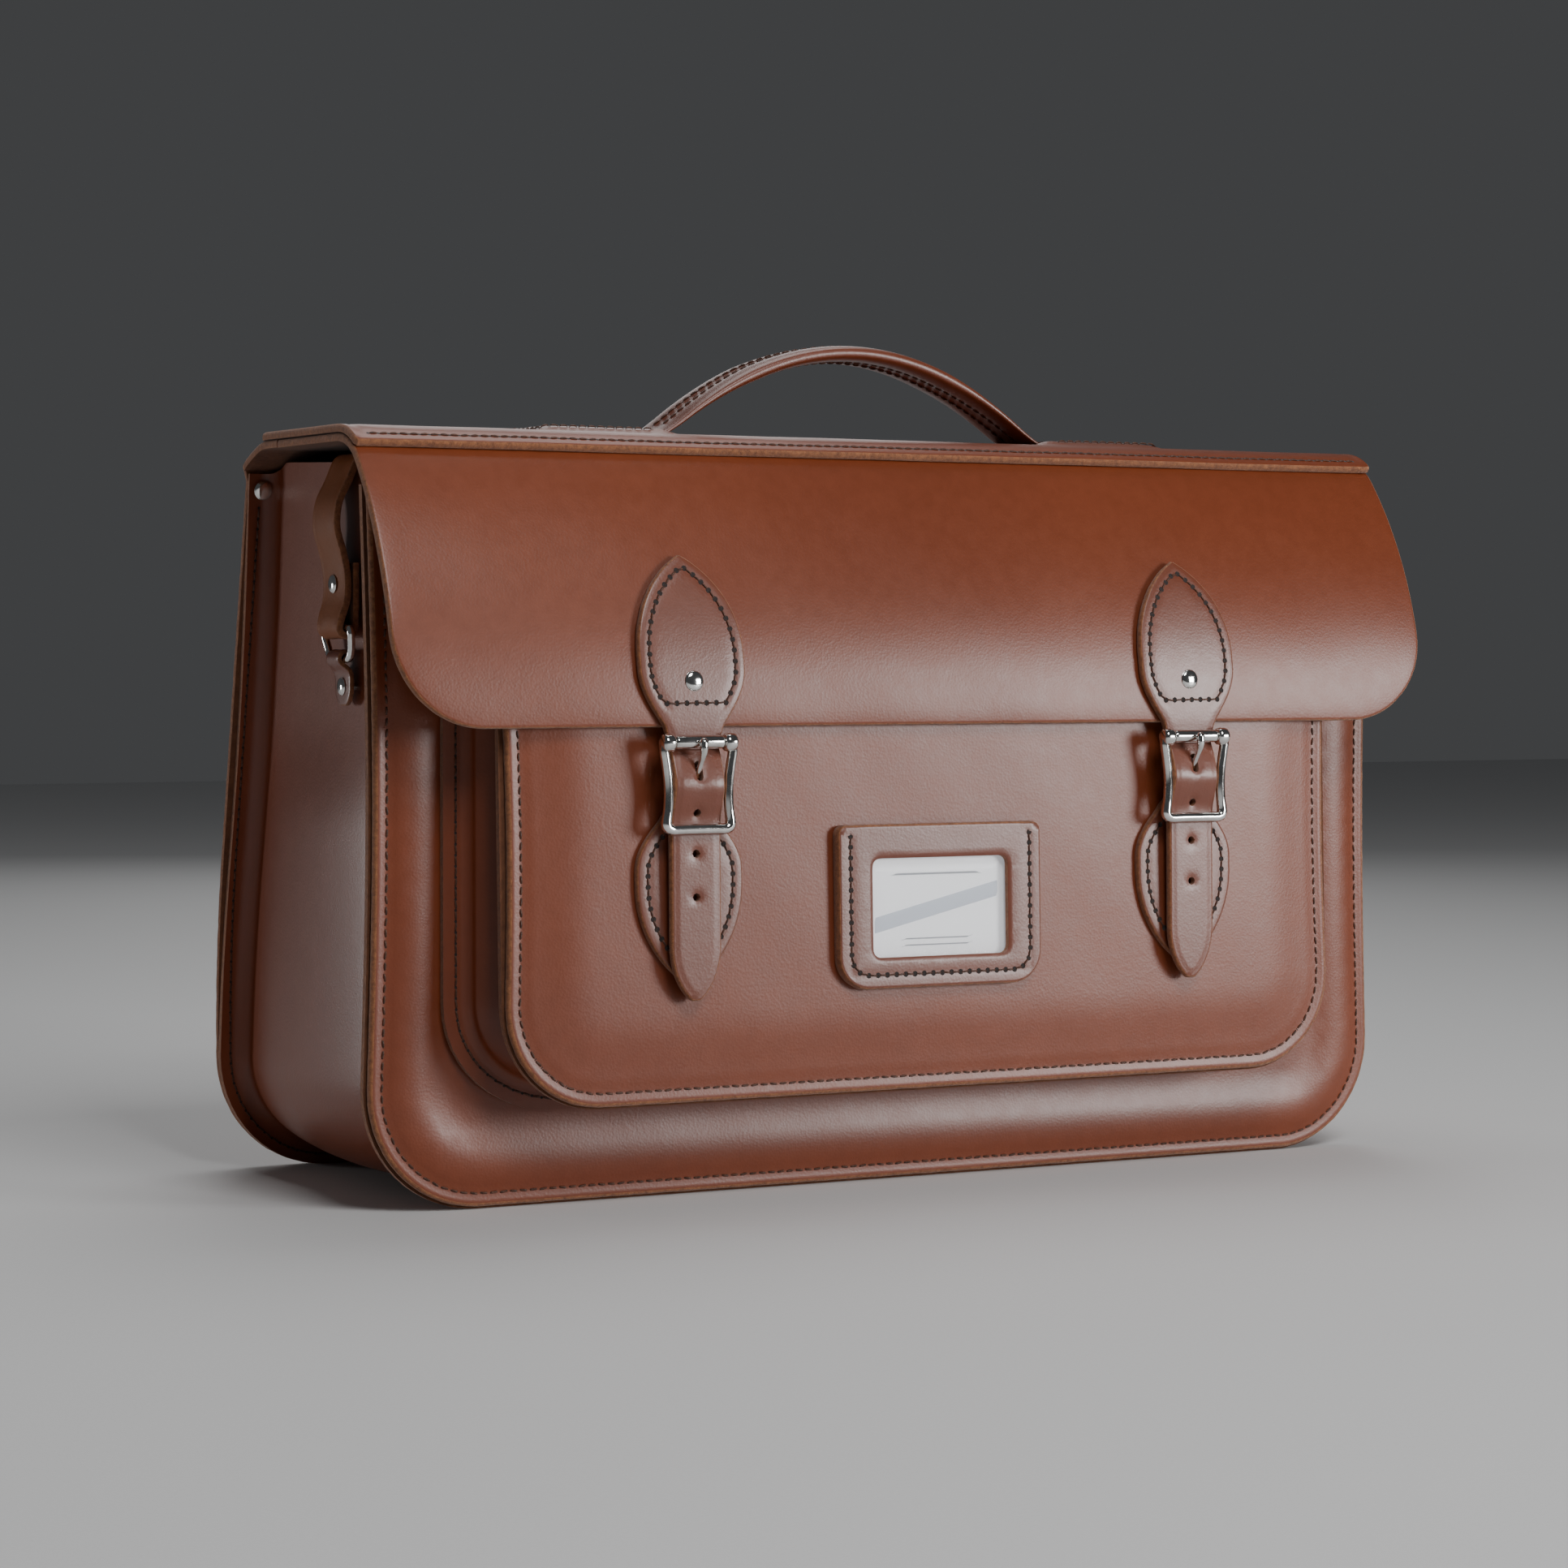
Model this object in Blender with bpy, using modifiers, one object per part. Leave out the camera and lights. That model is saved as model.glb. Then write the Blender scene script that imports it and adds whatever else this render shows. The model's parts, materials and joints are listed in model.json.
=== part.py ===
"""Leather satchel with a fold-over flap, a front pocket, two roller-buckle straps and a top handle.

Metres, +Z up, the front faces -Y and +X is to the right of someone who looks at the front. The origin
is on the floor, at the middle of the satchel's width and of its depth over the buckle prongs.
"""

import math

import bmesh
import bpy
from mathutils import Matrix, Vector

# Leather, and the clearance between pieces that lie on each other.
GAP = 0.0003
HIDE = 0.0028
GUSSET_HIDE = 0.0025
STRAP_HIDE = 0.0026
CHAPE_HIDE = 0.0014

# The body: two panels and one gusset strip between them.
WIDTH = 0.420
HEIGHT = 0.268
DEPTH = 0.142
CORNER_RADIUS = 0.042
SEAM_FLANGE = 0.010
BACK_BEND_LOW_Z = 0.050
BACK_BEND_HIGH_Z = 0.116
BACK_SLOPE = 0.19

# The flap: a round sheet that hangs upright at its hem.
FLAP_OVERHANG = 0.002
FLAP_DROP = 0.103
FLAP_RADIUS = 0.146
FLAP_STAND = 0.030
FLAP_CORNER = 0.030
FLAP_PANEL_CLEARANCE = 0.0015
CREASE_BELOW_TOP = 0.0115

# The front pocket.
POCKET_SIDE_MARGIN = 0.039
POCKET_FOOT_Z = 0.035
POCKET_CORNER = 0.036
POCKET_UNDER_FLAP = 0.017
POCKET_FLAP_CLEARANCE = 0.0031
POCKET_LEAN = 0.03
POCKET_SIDE_FLARE = 0.012
POCKET_BASE_FLARE = 0.003

# The handle.
HANDLE_WIDTH = 0.026
HANDLE_THICKNESS = 0.0060
HANDLE_RISE = 0.0325
HANDLE_HALF_SPAN = 0.076
HANDLE_TAIL = 0.0022
HANDLE_TAIL_END = 0.126

# The two buckled straps.
STRAP_SPACING = 0.205
STRAP_WIDTH = 0.0194
STRAP_END_BELOW_HEM = 0.094
LEAF_WIDTH = 0.041
LEAF_LENGTH = 0.060
HOLE_PITCH = 0.0145
HOLE_RADIUS = 0.0014

# The roller buckle.
BUCKLE_SIDE_CLEARANCE = 0.0004
BUCKLE_FLARE = 0.0017
BUCKLE_WIRE = 0.0014
BUCKLE_TOP_TO_BAR = 0.0150
BUCKLE_BAR_TO_FOOT = 0.0147
BAR_RADIUS = 0.0012
BAR_SET_BACK = 0.0042
ROLLER_RADIUS = 0.0025
ROLLER_BORE_CLEARANCE = 0.0002
PRONG_RADIUS = 0.0010
PRONG_EYE = 0.0027

# The identity-card holder on the pocket.
HOLDER_WIDTH = 0.084
HOLDER_HEIGHT = 0.058
HOLDER_X = -0.003
HOLDER_FOOT_Z = 0.072
HOLDER_CORNER = 0.012
HOLDER_THICKNESS = 0.0042
HOLDER_SEAM = 0.009
WINDOW_WIDTH = 0.056
WINDOW_HEIGHT = 0.035
WINDOW_FOOT_Z = 0.083
WINDOW_FILM = 0.0004
CARD_THICKNESS = 0.0005

# Rivets, and the shoulder strap with its side rings.
RIVET_HEAD_RADIUS = 0.0033
RIVET_POST_RADIUS = 0.0013
SHOULDER_WIDTH = 0.020
SHOULDER_HIDE = 0.0024
SIDE_SET_BACK = 0.038
RING_WIRE = 0.0014
RING_TOP_BELOW_TOP = 0.0685
RING_HEIGHT = 0.0115
TAB_WIDTH = 0.014

# Places worked out from the sizes above. Y runs backwards from the front panel's face.
ROLLER_STAND = FLAP_STAND + GAP + STRAP_HIDE + GAP + ROLLER_RADIUS
PRONG_STAND = ROLLER_STAND + ROLLER_RADIUS + GAP + PRONG_RADIUS
FRONT_Y = (PRONG_STAND + PRONG_RADIUS - DEPTH) / 2
BACK_Y = FRONT_Y + DEPTH
HALF_WIDTH = WIDTH / 2
FLAP_WIDTH = WIDTH + 2 * FLAP_OVERHANG
POCKET_WIDTH = WIDTH - 2 * POCKET_SIDE_MARGIN
BUCKLE_WAIST = STRAP_WIDTH + 2 * BUCKLE_SIDE_CLEARANCE + 4 * BUCKLE_WIRE
BUCKLE_WIDTH = BUCKLE_WAIST + 2 * BUCKLE_FLARE
HEM_Z = HEIGHT - FLAP_DROP
LID_Z = HEIGHT - HIDE - GAP
LID_UNDER_Z = LID_Z - HIDE
HINGE_Z = HEIGHT - 0.0107
CREASE_Z = HEIGHT - CREASE_BELOW_TOP
FLAP_CENTRE_Y = FRONT_Y - FLAP_STAND + FLAP_RADIUS
FRONT_TOP_Z = HEM_Z + math.sqrt(
    (FLAP_RADIUS - HIDE) ** 2 - (FLAP_RADIUS - FLAP_STAND + FLAP_PANEL_CLEARANCE) ** 2
)
GUSSET_BACK_TOP_Z = LID_UNDER_Z - 0.0079
# The gusset rim: share of the way from the front panel to the hinge, and height there.
GUSSET_RIM = ((0.09, LID_UNDER_Z - 0.0071), (0.90, LID_UNDER_Z - 0.0041))
CREASE_ANGLE = math.asin((CREASE_Z - HEM_Z) / FLAP_RADIUS)
CREASE_Y = FLAP_CENTRE_Y - FLAP_RADIUS * math.cos(CREASE_ANGLE)
TOP_PANEL_FRONT_Y = CREASE_Y + 0.0028
LID_FLAT_FRONT_Y = CREASE_Y + 0.0188
POCKET_TOP_Z = HEM_Z + POCKET_UNDER_FLAP
BUCKLE_Y = FRONT_Y - ROLLER_STAND
BAR_Y = BUCKLE_Y + BAR_SET_BACK
ROLLER_Z = HEM_Z - 0.005
BAR_Z = ROLLER_Z - BUCKLE_TOP_TO_BAR
BUCKLE_FOOT_Z = BAR_Z - BUCKLE_BAR_TO_FOOT
CHAPE_BORE = BAR_RADIUS + 0.00025
CHAPE_OUTER = CHAPE_BORE + CHAPE_HIDE
LOWER_LEAF_TOP_Z = BAR_Z - 0.009
SIDE_Y = FRONT_Y + SIDE_SET_BACK
WALL_X = HALF_WIDTH - SEAM_FLANGE
SIDES = {"left": -1, "right": 1}

LEATHER = (0.33, 0.085, 0.025, 1)
DARK_LEATHER = (0.25, 0.062, 0.020, 1)
NICKEL = (0.80, 0.80, 0.78, 1)


def back_face(z):
    """Y of the back panel's outer face: upright at the foot, then leaning forward."""
    bend = BACK_BEND_HIGH_Z - BACK_BEND_LOW_Z
    if z <= BACK_BEND_LOW_Z:
        return BACK_Y
    if z <= BACK_BEND_HIGH_Z:
        return BACK_Y - BACK_SLOPE * (z - BACK_BEND_LOW_Z) ** 2 / (2 * bend)
    return BACK_Y - BACK_SLOPE * (z - BACK_BEND_HIGH_Z + bend / 2)


HINGE_Y = back_face(HINGE_Z)
LID_FLAT_BACK_Y = HINGE_Y - 0.0235
TOP_PANEL_BACK_Y = LID_FLAT_BACK_Y + 0.004
HANDLE_Y = (TOP_PANEL_FRONT_Y + TOP_PANEL_BACK_Y) / 2


def pocket_face(z):
    return FRONT_Y - FLAP_STAND + HIDE + POCKET_FLAP_CLEARANCE - (HEM_Z - z) * POCKET_LEAN


def flap_point(angle, proud=0.0):
    """(y, z) on the flap's outer face at this angle above the hem, or proud of that face."""
    radius = FLAP_RADIUS + proud
    return FLAP_CENTRE_Y - radius * math.cos(angle), HEM_Z + radius * math.sin(angle)


def clear_scene():
    for obj in list(bpy.data.objects):
        bpy.data.objects.remove(obj, do_unlink=True)


def collection(name):
    made = bpy.data.collections.new(name)
    bpy.context.scene.collection.children.link(made)
    return made


def material(name, colour, roughness, metallic=0.0, alpha=1.0):
    made = bpy.data.materials.new(name)
    made.use_nodes = True
    shader = made.node_tree.nodes["Principled BSDF"]
    shader.inputs["Base Color"].default_value = colour
    shader.inputs["Roughness"].default_value = roughness
    shader.inputs["Metallic"].default_value = metallic
    shader.inputs["Alpha"].default_value = alpha
    return made


def add(name, mesh, look=None):
    """A satchel piece, or, with no look, a cutter that only shapes other pieces."""
    obj = bpy.data.objects.new(name, mesh)
    if look is None:
        CUTTERS.objects.link(obj)
        obj.hide_render = True
        obj.display_type = "WIRE"
        return obj
    SATCHEL.objects.link(obj)
    mesh.materials.append(material(name, *look))
    return obj


def mesh_from(bm, name):
    bmesh.ops.recalc_face_normals(bm, faces=bm.faces)
    mesh = bpy.data.meshes.new(name)
    bm.to_mesh(mesh)
    bm.free()
    return mesh


def loft(name, rings, look=None, end_faces=None):
    """A closed solid through rings of points, each ring with the same number of them.

    An end that isn't flat is given as several faces, each a row of places in the ring.
    """
    bm = bmesh.new()
    made = [[bm.verts.new(point) for point in ring] for ring in rings]
    for ring, following in zip(made, made[1:]):
        for i in range(len(ring)):
            j = (i + 1) % len(ring)
            bm.faces.new((ring[i], ring[j], following[j], following[i]))
    for ring in (made[0], made[-1]):
        for face in end_faces or [range(len(ring))]:
            bm.faces.new([ring[i] for i in face])
    mesh = mesh_from(bm, name)
    mesh.shade_smooth()
    mesh.set_sharp_from_angle(angle=math.radians(35))
    return add(name, mesh, look)


def sheet(name, rows, look=None, centre_x=0.0, columns=(-1, 1), lift=None):
    """A sheet of leather from rows of (half width, outer (y, z), inner (y, z)).

    The columns are shares of the half width, or distances from centre_x where a row's half width is None.
    """
    rings = []
    for half, outer, inner in rows:
        places = [centre_x + (column if half is None else column * half) for column in columns]
        ring = []
        for (y, z), side in ((outer, places), (inner, places[::-1])):
            ring += [(x, y, z + (lift(x, y) if lift else 0.0)) for x in side]
        rings.append(ring)
    return loft(name, rings, look)


def tube(name, points, radius, look=None, cyclic=False):
    """A round wire along the points, as a closed mesh."""
    curve = bpy.data.curves.new(name, "CURVE")
    curve.dimensions = "3D"
    curve.bevel_depth = radius
    curve.bevel_resolution = 2
    curve.use_fill_caps = not cyclic
    spline = curve.splines.new("POLY")
    spline.points.add(len(points) - 1)
    for point, place in zip(spline.points, points):
        point.co = (*place, 1)
    spline.use_cyclic_u = cyclic
    guide = bpy.data.objects.new(name, curve)
    CUTTERS.objects.link(guide)
    evaluated = guide.evaluated_get(bpy.context.evaluated_depsgraph_get())
    raw = bpy.data.meshes.new_from_object(evaluated)
    bm = bmesh.new()
    bm.from_mesh(raw)
    bmesh.ops.remove_doubles(bm, verts=bm.verts, dist=1e-6)
    bpy.data.objects.remove(guide, do_unlink=True)
    bpy.data.meshes.remove(raw)
    mesh = mesh_from(bm, name)
    mesh.materials.clear()
    mesh.shade_smooth()
    mesh.set_sharp_from_angle(angle=math.radians(50))
    return add(name, mesh, look)


def cylinder(name, centre, axis, radius, length, look=None, segments=20):
    bm = bmesh.new()
    bmesh.ops.create_cone(
        bm, cap_ends=True, segments=segments, radius1=radius, radius2=radius, depth=length
    )
    turn = Vector((0, 0, 1)).rotation_difference(Vector(axis)).to_matrix().to_4x4()
    bmesh.ops.transform(bm, verts=bm.verts, matrix=Matrix.Translation(centre) @ turn)
    mesh = mesh_from(bm, name)
    mesh.shade_smooth()
    mesh.set_sharp_from_angle(angle=math.radians(35))
    return add(name, mesh, look)


def box(name, low, high):
    bm = bmesh.new()
    bmesh.ops.create_cube(bm, size=1)
    size = Vector(high) - Vector(low)
    middle = (Vector(high) + Vector(low)) / 2
    place = Matrix.Translation(middle) @ Matrix.Diagonal((*size, 1))
    bmesh.ops.transform(bm, verts=bm.verts, matrix=place)
    return add(name, mesh_from(bm, name))


def combine(obj, other, operation):
    modifier = obj.modifiers.new(other.name, "BOOLEAN")
    modifier.operation = operation
    modifier.solver = "EXACT"
    modifier.object = other


def cut(obj, cutter):
    combine(obj, cutter, "DIFFERENCE")


def join(obj, other):
    combine(obj, other, "UNION")


def move_origin(obj, place):
    """Puts the object's origin on its joint's axis, with the shape left where it is."""
    obj.data.transform(Matrix.Translation(-Vector(place)))
    obj.location = place


def arc(centre, radius, start, end, steps):
    """Points on an arc in a plane, from the start angle to the end angle in degrees."""
    angles = [math.radians(start + (end - start) * i / steps) for i in range(steps + 1)]
    return [(centre[0] + radius * math.cos(a), centre[1] + radius * math.sin(a)) for a in angles]


def outline_half_width(z, half, foot, corner):
    """Half the width at height z of an upright panel with round bottom corners."""
    depth = foot + corner - z
    if depth <= 0:
        return half
    return half - corner + math.sqrt(max(corner**2 - depth**2, 0.0))


def corner_heights(foot, corner, steps=7):
    return [foot + corner * (1 - math.cos(math.pi / 2 * i / steps)) for i in range(steps + 1)]


def gothic(along, length, half):
    """Half the width of a pointed arch, at this distance from where it starts to narrow."""
    radius = (half**2 + length**2) / (2 * half)
    return max(math.sqrt(max(radius**2 - along**2, 0.0)) - (radius - half), 0.0)


def leaf_half_width(along, neck):
    """A leaf that widens from its neck and ends in a point, at this distance from the neck."""
    full = LEAF_WIDTH / 2
    swell, shoulder = 0.020, 0.025
    if along < shoulder:
        return neck + (full - neck) * math.sin(math.pi / 2 * min(1.0, max(along, 0.0) / swell))
    return gothic(along - shoulder, LEAF_LENGTH - shoulder, full)


def channel_path(half, foot, corner, heights):
    """Stations down the left side, round the bottom and up the right: (x, z, outward normal)."""
    side = [(-half, z, (-1.0, 0.0)) for z in sorted(heights, reverse=True)]
    turn = []
    for i in range(9):
        a = math.pi + math.pi / 2 * i / 8
        normal = (math.cos(a), math.sin(a))
        turn.append((corner * normal[0] - half + corner, foot + corner + corner * normal[1], normal))
    left = side + turn
    right = [(-x, z, (-n[0], n[1])) for x, z, n in reversed(left)]
    return left + right


def channel(name, stations, section, look, end_faces=None):
    """A strip bent along the stations, its section given as (distance outwards, y) at each."""
    rings = []
    for x, z, normal in stations:
        rings.append(
            [(x + out * normal[0], y, rise + z + out * normal[1]) for out, y, rise in section(z, normal)]
        )
    return loft(name, rings, look, end_faces)


def panels():
    foot_rows = corner_heights(0.0, CORNER_RADIUS)
    front_rows = [
        (outline_half_width(z, HALF_WIDTH, 0, CORNER_RADIUS), (FRONT_Y, z), (FRONT_Y + HIDE, z))
        for z in foot_rows + [FRONT_TOP_Z]
    ]
    sheet("front_panel", front_rows, (LEATHER, 0.42))
    back_rows = []
    for z in foot_rows + bend_heights():
        half = outline_half_width(z, HALF_WIDTH, 0, CORNER_RADIUS)
        back_rows.append((half, (back_face(z), z), (back_face(z) - HIDE, z)))
    top = HINGE_Z - 0.0005
    inner_top = top - 0.0012
    back_rows.append((HALF_WIDTH, (back_face(top), top), (back_face(inner_top) - HIDE, inner_top)))
    return sheet("back_panel", back_rows, (LEATHER, 0.42))


def bend_heights():
    steps = 4
    rise = BACK_BEND_HIGH_Z - BACK_BEND_LOW_Z
    return [BACK_BEND_LOW_Z + rise * i / steps for i in range(steps + 1)]


def gusset():
    front = FRONT_Y + HIDE + GAP

    def section(z, normal):
        """The wall's two faces each carry two more points, so that its top edge can rise to the lid."""
        top = normal[1] == 0 and z >= FRONT_TOP_Z
        (near, near_z), (far, far_z) = GUSSET_RIM
        rows = []
        for out, share, inside, rim_z in (
            (-GUSSET_HIDE, 0, 0, FRONT_TOP_Z),
            (SEAM_FLANGE, 0, 0, FRONT_TOP_Z),
            (SEAM_FLANGE, 0, 1, FRONT_TOP_Z),
            (0.0, 0, 1, FRONT_TOP_Z),
            (0.0, near, 1, near_z),
            (0.0, far, 1, far_z),
            (0.0, 1, 1, GUSSET_BACK_TOP_Z),
            (SEAM_FLANGE, 1, 1, GUSSET_BACK_TOP_Z),
            (SEAM_FLANGE, 1, 0, GUSSET_BACK_TOP_Z),
            (-GUSSET_HIDE, 1, 0, GUSSET_BACK_TOP_Z),
            (-GUSSET_HIDE, far, 1, far_z),
            (-GUSSET_HIDE, near, 1, near_z),
        ):
            rise = rim_z - FRONT_TOP_Z if top else 0.0
            height = z + out * normal[1] + rise
            low = front + inside * GUSSET_HIDE
            high = back_face(height) - HIDE - GAP - inside * GUSSET_HIDE
            rows.append((out, low + (high - low) * share, rise))
        return rows

    stations = channel_path(
        WALL_X, SEAM_FLANGE, CORNER_RADIUS - SEAM_FLANGE, bend_heights() + [FRONT_TOP_Z]
    )
    end_faces = ((0, 1, 2, 3), (0, 3, 4, 11), (11, 4, 5, 10), (10, 5, 6, 9), (9, 6, 7, 8))
    return channel("gusset", stations, section, (LEATHER, 0.45), end_faces)


def pocket():
    rows = [
        (
            outline_half_width(z, POCKET_WIDTH / 2, POCKET_FOOT_Z, POCKET_CORNER),
            (pocket_face(z), z),
            (pocket_face(z) + HIDE, z),
        )
        for z in corner_heights(POCKET_FOOT_Z, POCKET_CORNER) + [POCKET_TOP_Z]
    ]
    sheet("pocket_front", rows, (LEATHER, 0.42))
    back = FRONT_Y - GAP

    def section(z, normal):
        flare = POCKET_SIDE_FLARE * normal[0] ** 2 + POCKET_BASE_FLARE * normal[1] ** 2
        points = []
        for out, at_back, inside in (
            (-GUSSET_HIDE, False, 0),
            (SEAM_FLANGE, False, 0),
            (SEAM_FLANGE, False, 1),
            (0.0, False, 1),
            (flare, True, 1),
            (flare + SEAM_FLANGE, True, 1),
            (flare + SEAM_FLANGE, True, 0),
            (flare - GUSSET_HIDE, True, 0),
        ):
            if at_back:
                y = back - inside * GUSSET_HIDE
            else:
                y = pocket_face(z + out * normal[1]) + HIDE + GAP + inside * GUSSET_HIDE
            points.append((out, y, 0.0))
        return points

    stations = channel_path(
        POCKET_WIDTH / 2 - SEAM_FLANGE,
        POCKET_FOOT_Z + SEAM_FLANGE,
        POCKET_CORNER - SEAM_FLANGE,
        [POCKET_TOP_Z],
    )
    channel("pocket_gusset", stations, section, (LEATHER, 0.45))


def lid_path():
    """(y, z) along the lid's outer face from the back hinge to the front crease."""
    points = [(HINGE_Y, HINGE_Z + 0.0002), (LID_FLAT_BACK_Y + 0.006, LID_Z - 0.0007)]
    points.append((LID_FLAT_BACK_Y, LID_Z))
    for step in range(6):
        t = step / 5
        control = (CREASE_Y + 0.0067, LID_Z)
        y = (1 - t) ** 2 * LID_FLAT_FRONT_Y + 2 * t * (1 - t) * control[0] + t**2 * CREASE_Y
        z = (1 - t) ** 2 * LID_Z + 2 * t * (1 - t) * control[1] + t**2 * CREASE_Z
        points.append((y, z))
    return points


def offset(points, distance):
    """The points moved this far to the outer side of a path that runs from back to front."""
    moved = []
    for i, (y, z) in enumerate(points):
        before, after = points[max(i - 1, 0)], points[min(i + 1, len(points) - 1)]
        run, rise = after[0] - before[0], after[1] - before[1]
        length = math.hypot(run, rise)
        moved.append((y + rise / length * distance, z - run / length * distance))
    return moved


def lid():
    outer = lid_path()
    inner = offset(outer, -HIDE)
    inner[0] = (HINGE_Y - HIDE, HINGE_Z - 0.0010)
    rows = [(FLAP_WIDTH / 2, o, i) for o, i in zip(outer, inner)]
    rows[-1] = (FLAP_WIDTH / 2, flap_point(CREASE_ANGLE), flap_point(CREASE_ANGLE, -HIDE))
    lid_leather = sheet("flap_top", rows, (LEATHER, 0.42))
    move_origin(lid_leather, (0, HINGE_Y, HINGE_Z))


def top_panel():
    """The strip over the lid, raised over the handle's tails and slotted where they go through."""
    edge, slope = HANDLE_WIDTH / 2 + 0.0025, 0.0065
    raised = HANDLE_TAIL + GAP
    slot_inner, slot_outer = HANDLE_HALF_SPAN - 0.004, HANDLE_HALF_SPAN + 0.0145

    def lift(x, y):
        along = min(
            1.0,
            max(0.0, (abs(x) - slot_inner) / (slot_outer - 0.003 - slot_inner)),
            max(0.0, (HANDLE_TAIL_END + 0.001 + slope - abs(x)) / slope),
        )
        across = min(1.0, max(0.0, (edge + slope - abs(y - HANDLE_Y)) / slope))
        return raised * along * across

    half = FLAP_WIDTH / 2
    stops = [slot_inner, slot_outer - 0.003, HANDLE_TAIL_END + 0.001, HANDLE_TAIL_END + 0.001 + slope, half]
    columns = [-stop for stop in reversed(stops)] + stops
    flat = [HANDLE_Y + y for y in (edge + slope, edge, -edge, -edge - slope)]
    path = [(TOP_PANEL_BACK_Y, LID_Z)]
    path += [(y, LID_Z) for y in flat] + lid_path()[3:-1]
    rows = zip(offset(path, GAP + HIDE), offset(path, GAP))
    panel = sheet(
        "top_panel", [(None, outer, inner) for outer, inner in rows], (LEATHER, 0.42), 0.0, columns, lift
    )
    for side, sign in SIDES.items():
        low, high = sorted((sign * slot_inner, sign * slot_outer))
        half_slot = HANDLE_WIDTH / 2 + 0.001
        cut(
            panel,
            box(
                f"slot_{side}",
                (low, HANDLE_Y - half_slot, LID_Z - 0.01),
                (high, HANDLE_Y + half_slot, LID_Z + 0.02),
            ),
        )


def handle_line(x):
    """(height, half thickness) of the handle's middle at this distance from its centre."""
    tail_z = LID_Z + GAP + HANDLE_TAIL / 2
    start, end = HANDLE_HALF_SPAN - 0.006, HANDLE_HALF_SPAN + 0.013
    apex = HEIGHT + HANDLE_RISE
    drop = HANDLE_RISE - 0.0025
    far = abs(x)
    thin = min(1.0, max(0.0, (far - 0.040) / (end - 0.006 - 0.040)))
    half = HANDLE_THICKNESS / 2 * (1 - thin) + HANDLE_TAIL / 2 * thin
    if far <= start:
        return apex - drop * (far / HANDLE_HALF_SPAN) ** 2, half
    if far >= end:
        return tail_z, half
    t = (far - start) / (end - start)
    start_z = apex - drop * (start / HANDLE_HALF_SPAN) ** 2
    slope = -2 * drop * start / HANDLE_HALF_SPAN**2 * (end - start)
    height = (2 * t**3 - 3 * t**2 + 1) * start_z + (t**3 - 2 * t**2 + t) * slope
    return height + (3 * t**2 - 2 * t**3) * tail_z, half


def handle():
    reach = [0, 0.010, 0.020, 0.031, 0.042, 0.053, 0.063, 0.070, 0.074, 0.078, 0.082, 0.086, 0.090]
    reach = [x / 0.076 * HANDLE_HALF_SPAN for x in reach] + [HANDLE_TAIL_END]
    stations = [-x for x in reach[:0:-1]] + reach
    rings = []
    for x in stations:
        z, half = handle_line(x)
        rise = (handle_line(x + 0.0005)[0] - handle_line(x - 0.0005)[0]) / 0.001
        length = math.hypot(1, rise)
        normal = (-rise / length, 1 / length)
        wide, bevel = HANDLE_WIDTH / 2, 0.45 * half
        ring = []
        for across, out in (
            (-wide, bevel - half),
            (-wide + bevel, -half),
            (wide - bevel, -half),
            (wide, bevel - half),
            (wide, half - bevel),
            (wide - bevel, half),
            (-wide + bevel, half),
            (-wide, half - bevel),
        ):
            ring.append((x + normal[0] * out, HANDLE_Y + across, z + normal[1] * out))
        rings.append(ring)
    loft("handle", rings, (LEATHER, 0.45))


def flap():
    steps = 12
    top = CREASE_ANGLE - 0.0005 / FLAP_RADIUS
    rows = []
    angles = [math.asin((z - HEM_Z) / FLAP_RADIUS) for z in corner_heights(HEM_Z, FLAP_CORNER, 6)]
    angles += [angles[-1] + (top - angles[-1]) * (i + 1) / steps for i in range(steps)]
    for angle in angles:
        height = HEM_Z + FLAP_RADIUS * math.sin(angle)
        half = outline_half_width(height, FLAP_WIDTH / 2, HEM_Z, FLAP_CORNER)
        rows.append((half, flap_point(angle), flap_point(angle, -HIDE)))
    flap_piece = sheet("flap", rows, (LEATHER, 0.42))
    move_origin(flap_piece, (0, CREASE_Y, CREASE_Z))
    return flap_piece


def rivet(name, place, direction, stack, washer=True):
    """A cap on the outer face at place, a post through the stack and, where it fits, a washer."""
    head, post = RIVET_HEAD_RADIUS, RIVET_POST_RADIUS
    profile = [(0.0, GAP + 0.0013), (head * 0.62, GAP + 0.0011), (head * 0.93, GAP + 0.0006)]
    profile += [(head, GAP + 0.0002), (head, GAP), (post, GAP)]
    if washer:
        profile += [(post, -stack - GAP), (head, -stack - GAP), (head, -stack - GAP - 0.0005)]
        profile += [(0.0, -stack - GAP - 0.0007)]
    else:
        profile += [(post, -stack), (0.0, -stack)]
    mesh = bpy.data.meshes.new(name)
    mesh.from_pydata(
        [(r, 0, z) for r, z in profile], [(i, i + 1) for i in range(len(profile) - 1)], []
    )
    obj = add(name, mesh, (NICKEL, 0.22, 1.0))
    screw = obj.modifiers.new("turn", "SCREW")
    screw.axis = "Z"
    screw.steps = screw.render_steps = 14
    screw.use_merge_vertices = True
    screw.merge_threshold = 0.00001
    screw.use_smooth_shade = True
    obj.rotation_mode = "QUATERNION"
    obj.rotation_quaternion = Vector((0, 0, 1)).rotation_difference(Vector(direction))
    obj.location = place
    return obj


def rivet_hole(name, place, direction, depth):
    middle = Vector(place) - Vector(direction) * (depth / 2)
    return cylinder(name, middle, direction, RIVET_POST_RADIUS + 0.0002, depth + 0.006, segments=12)


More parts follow.
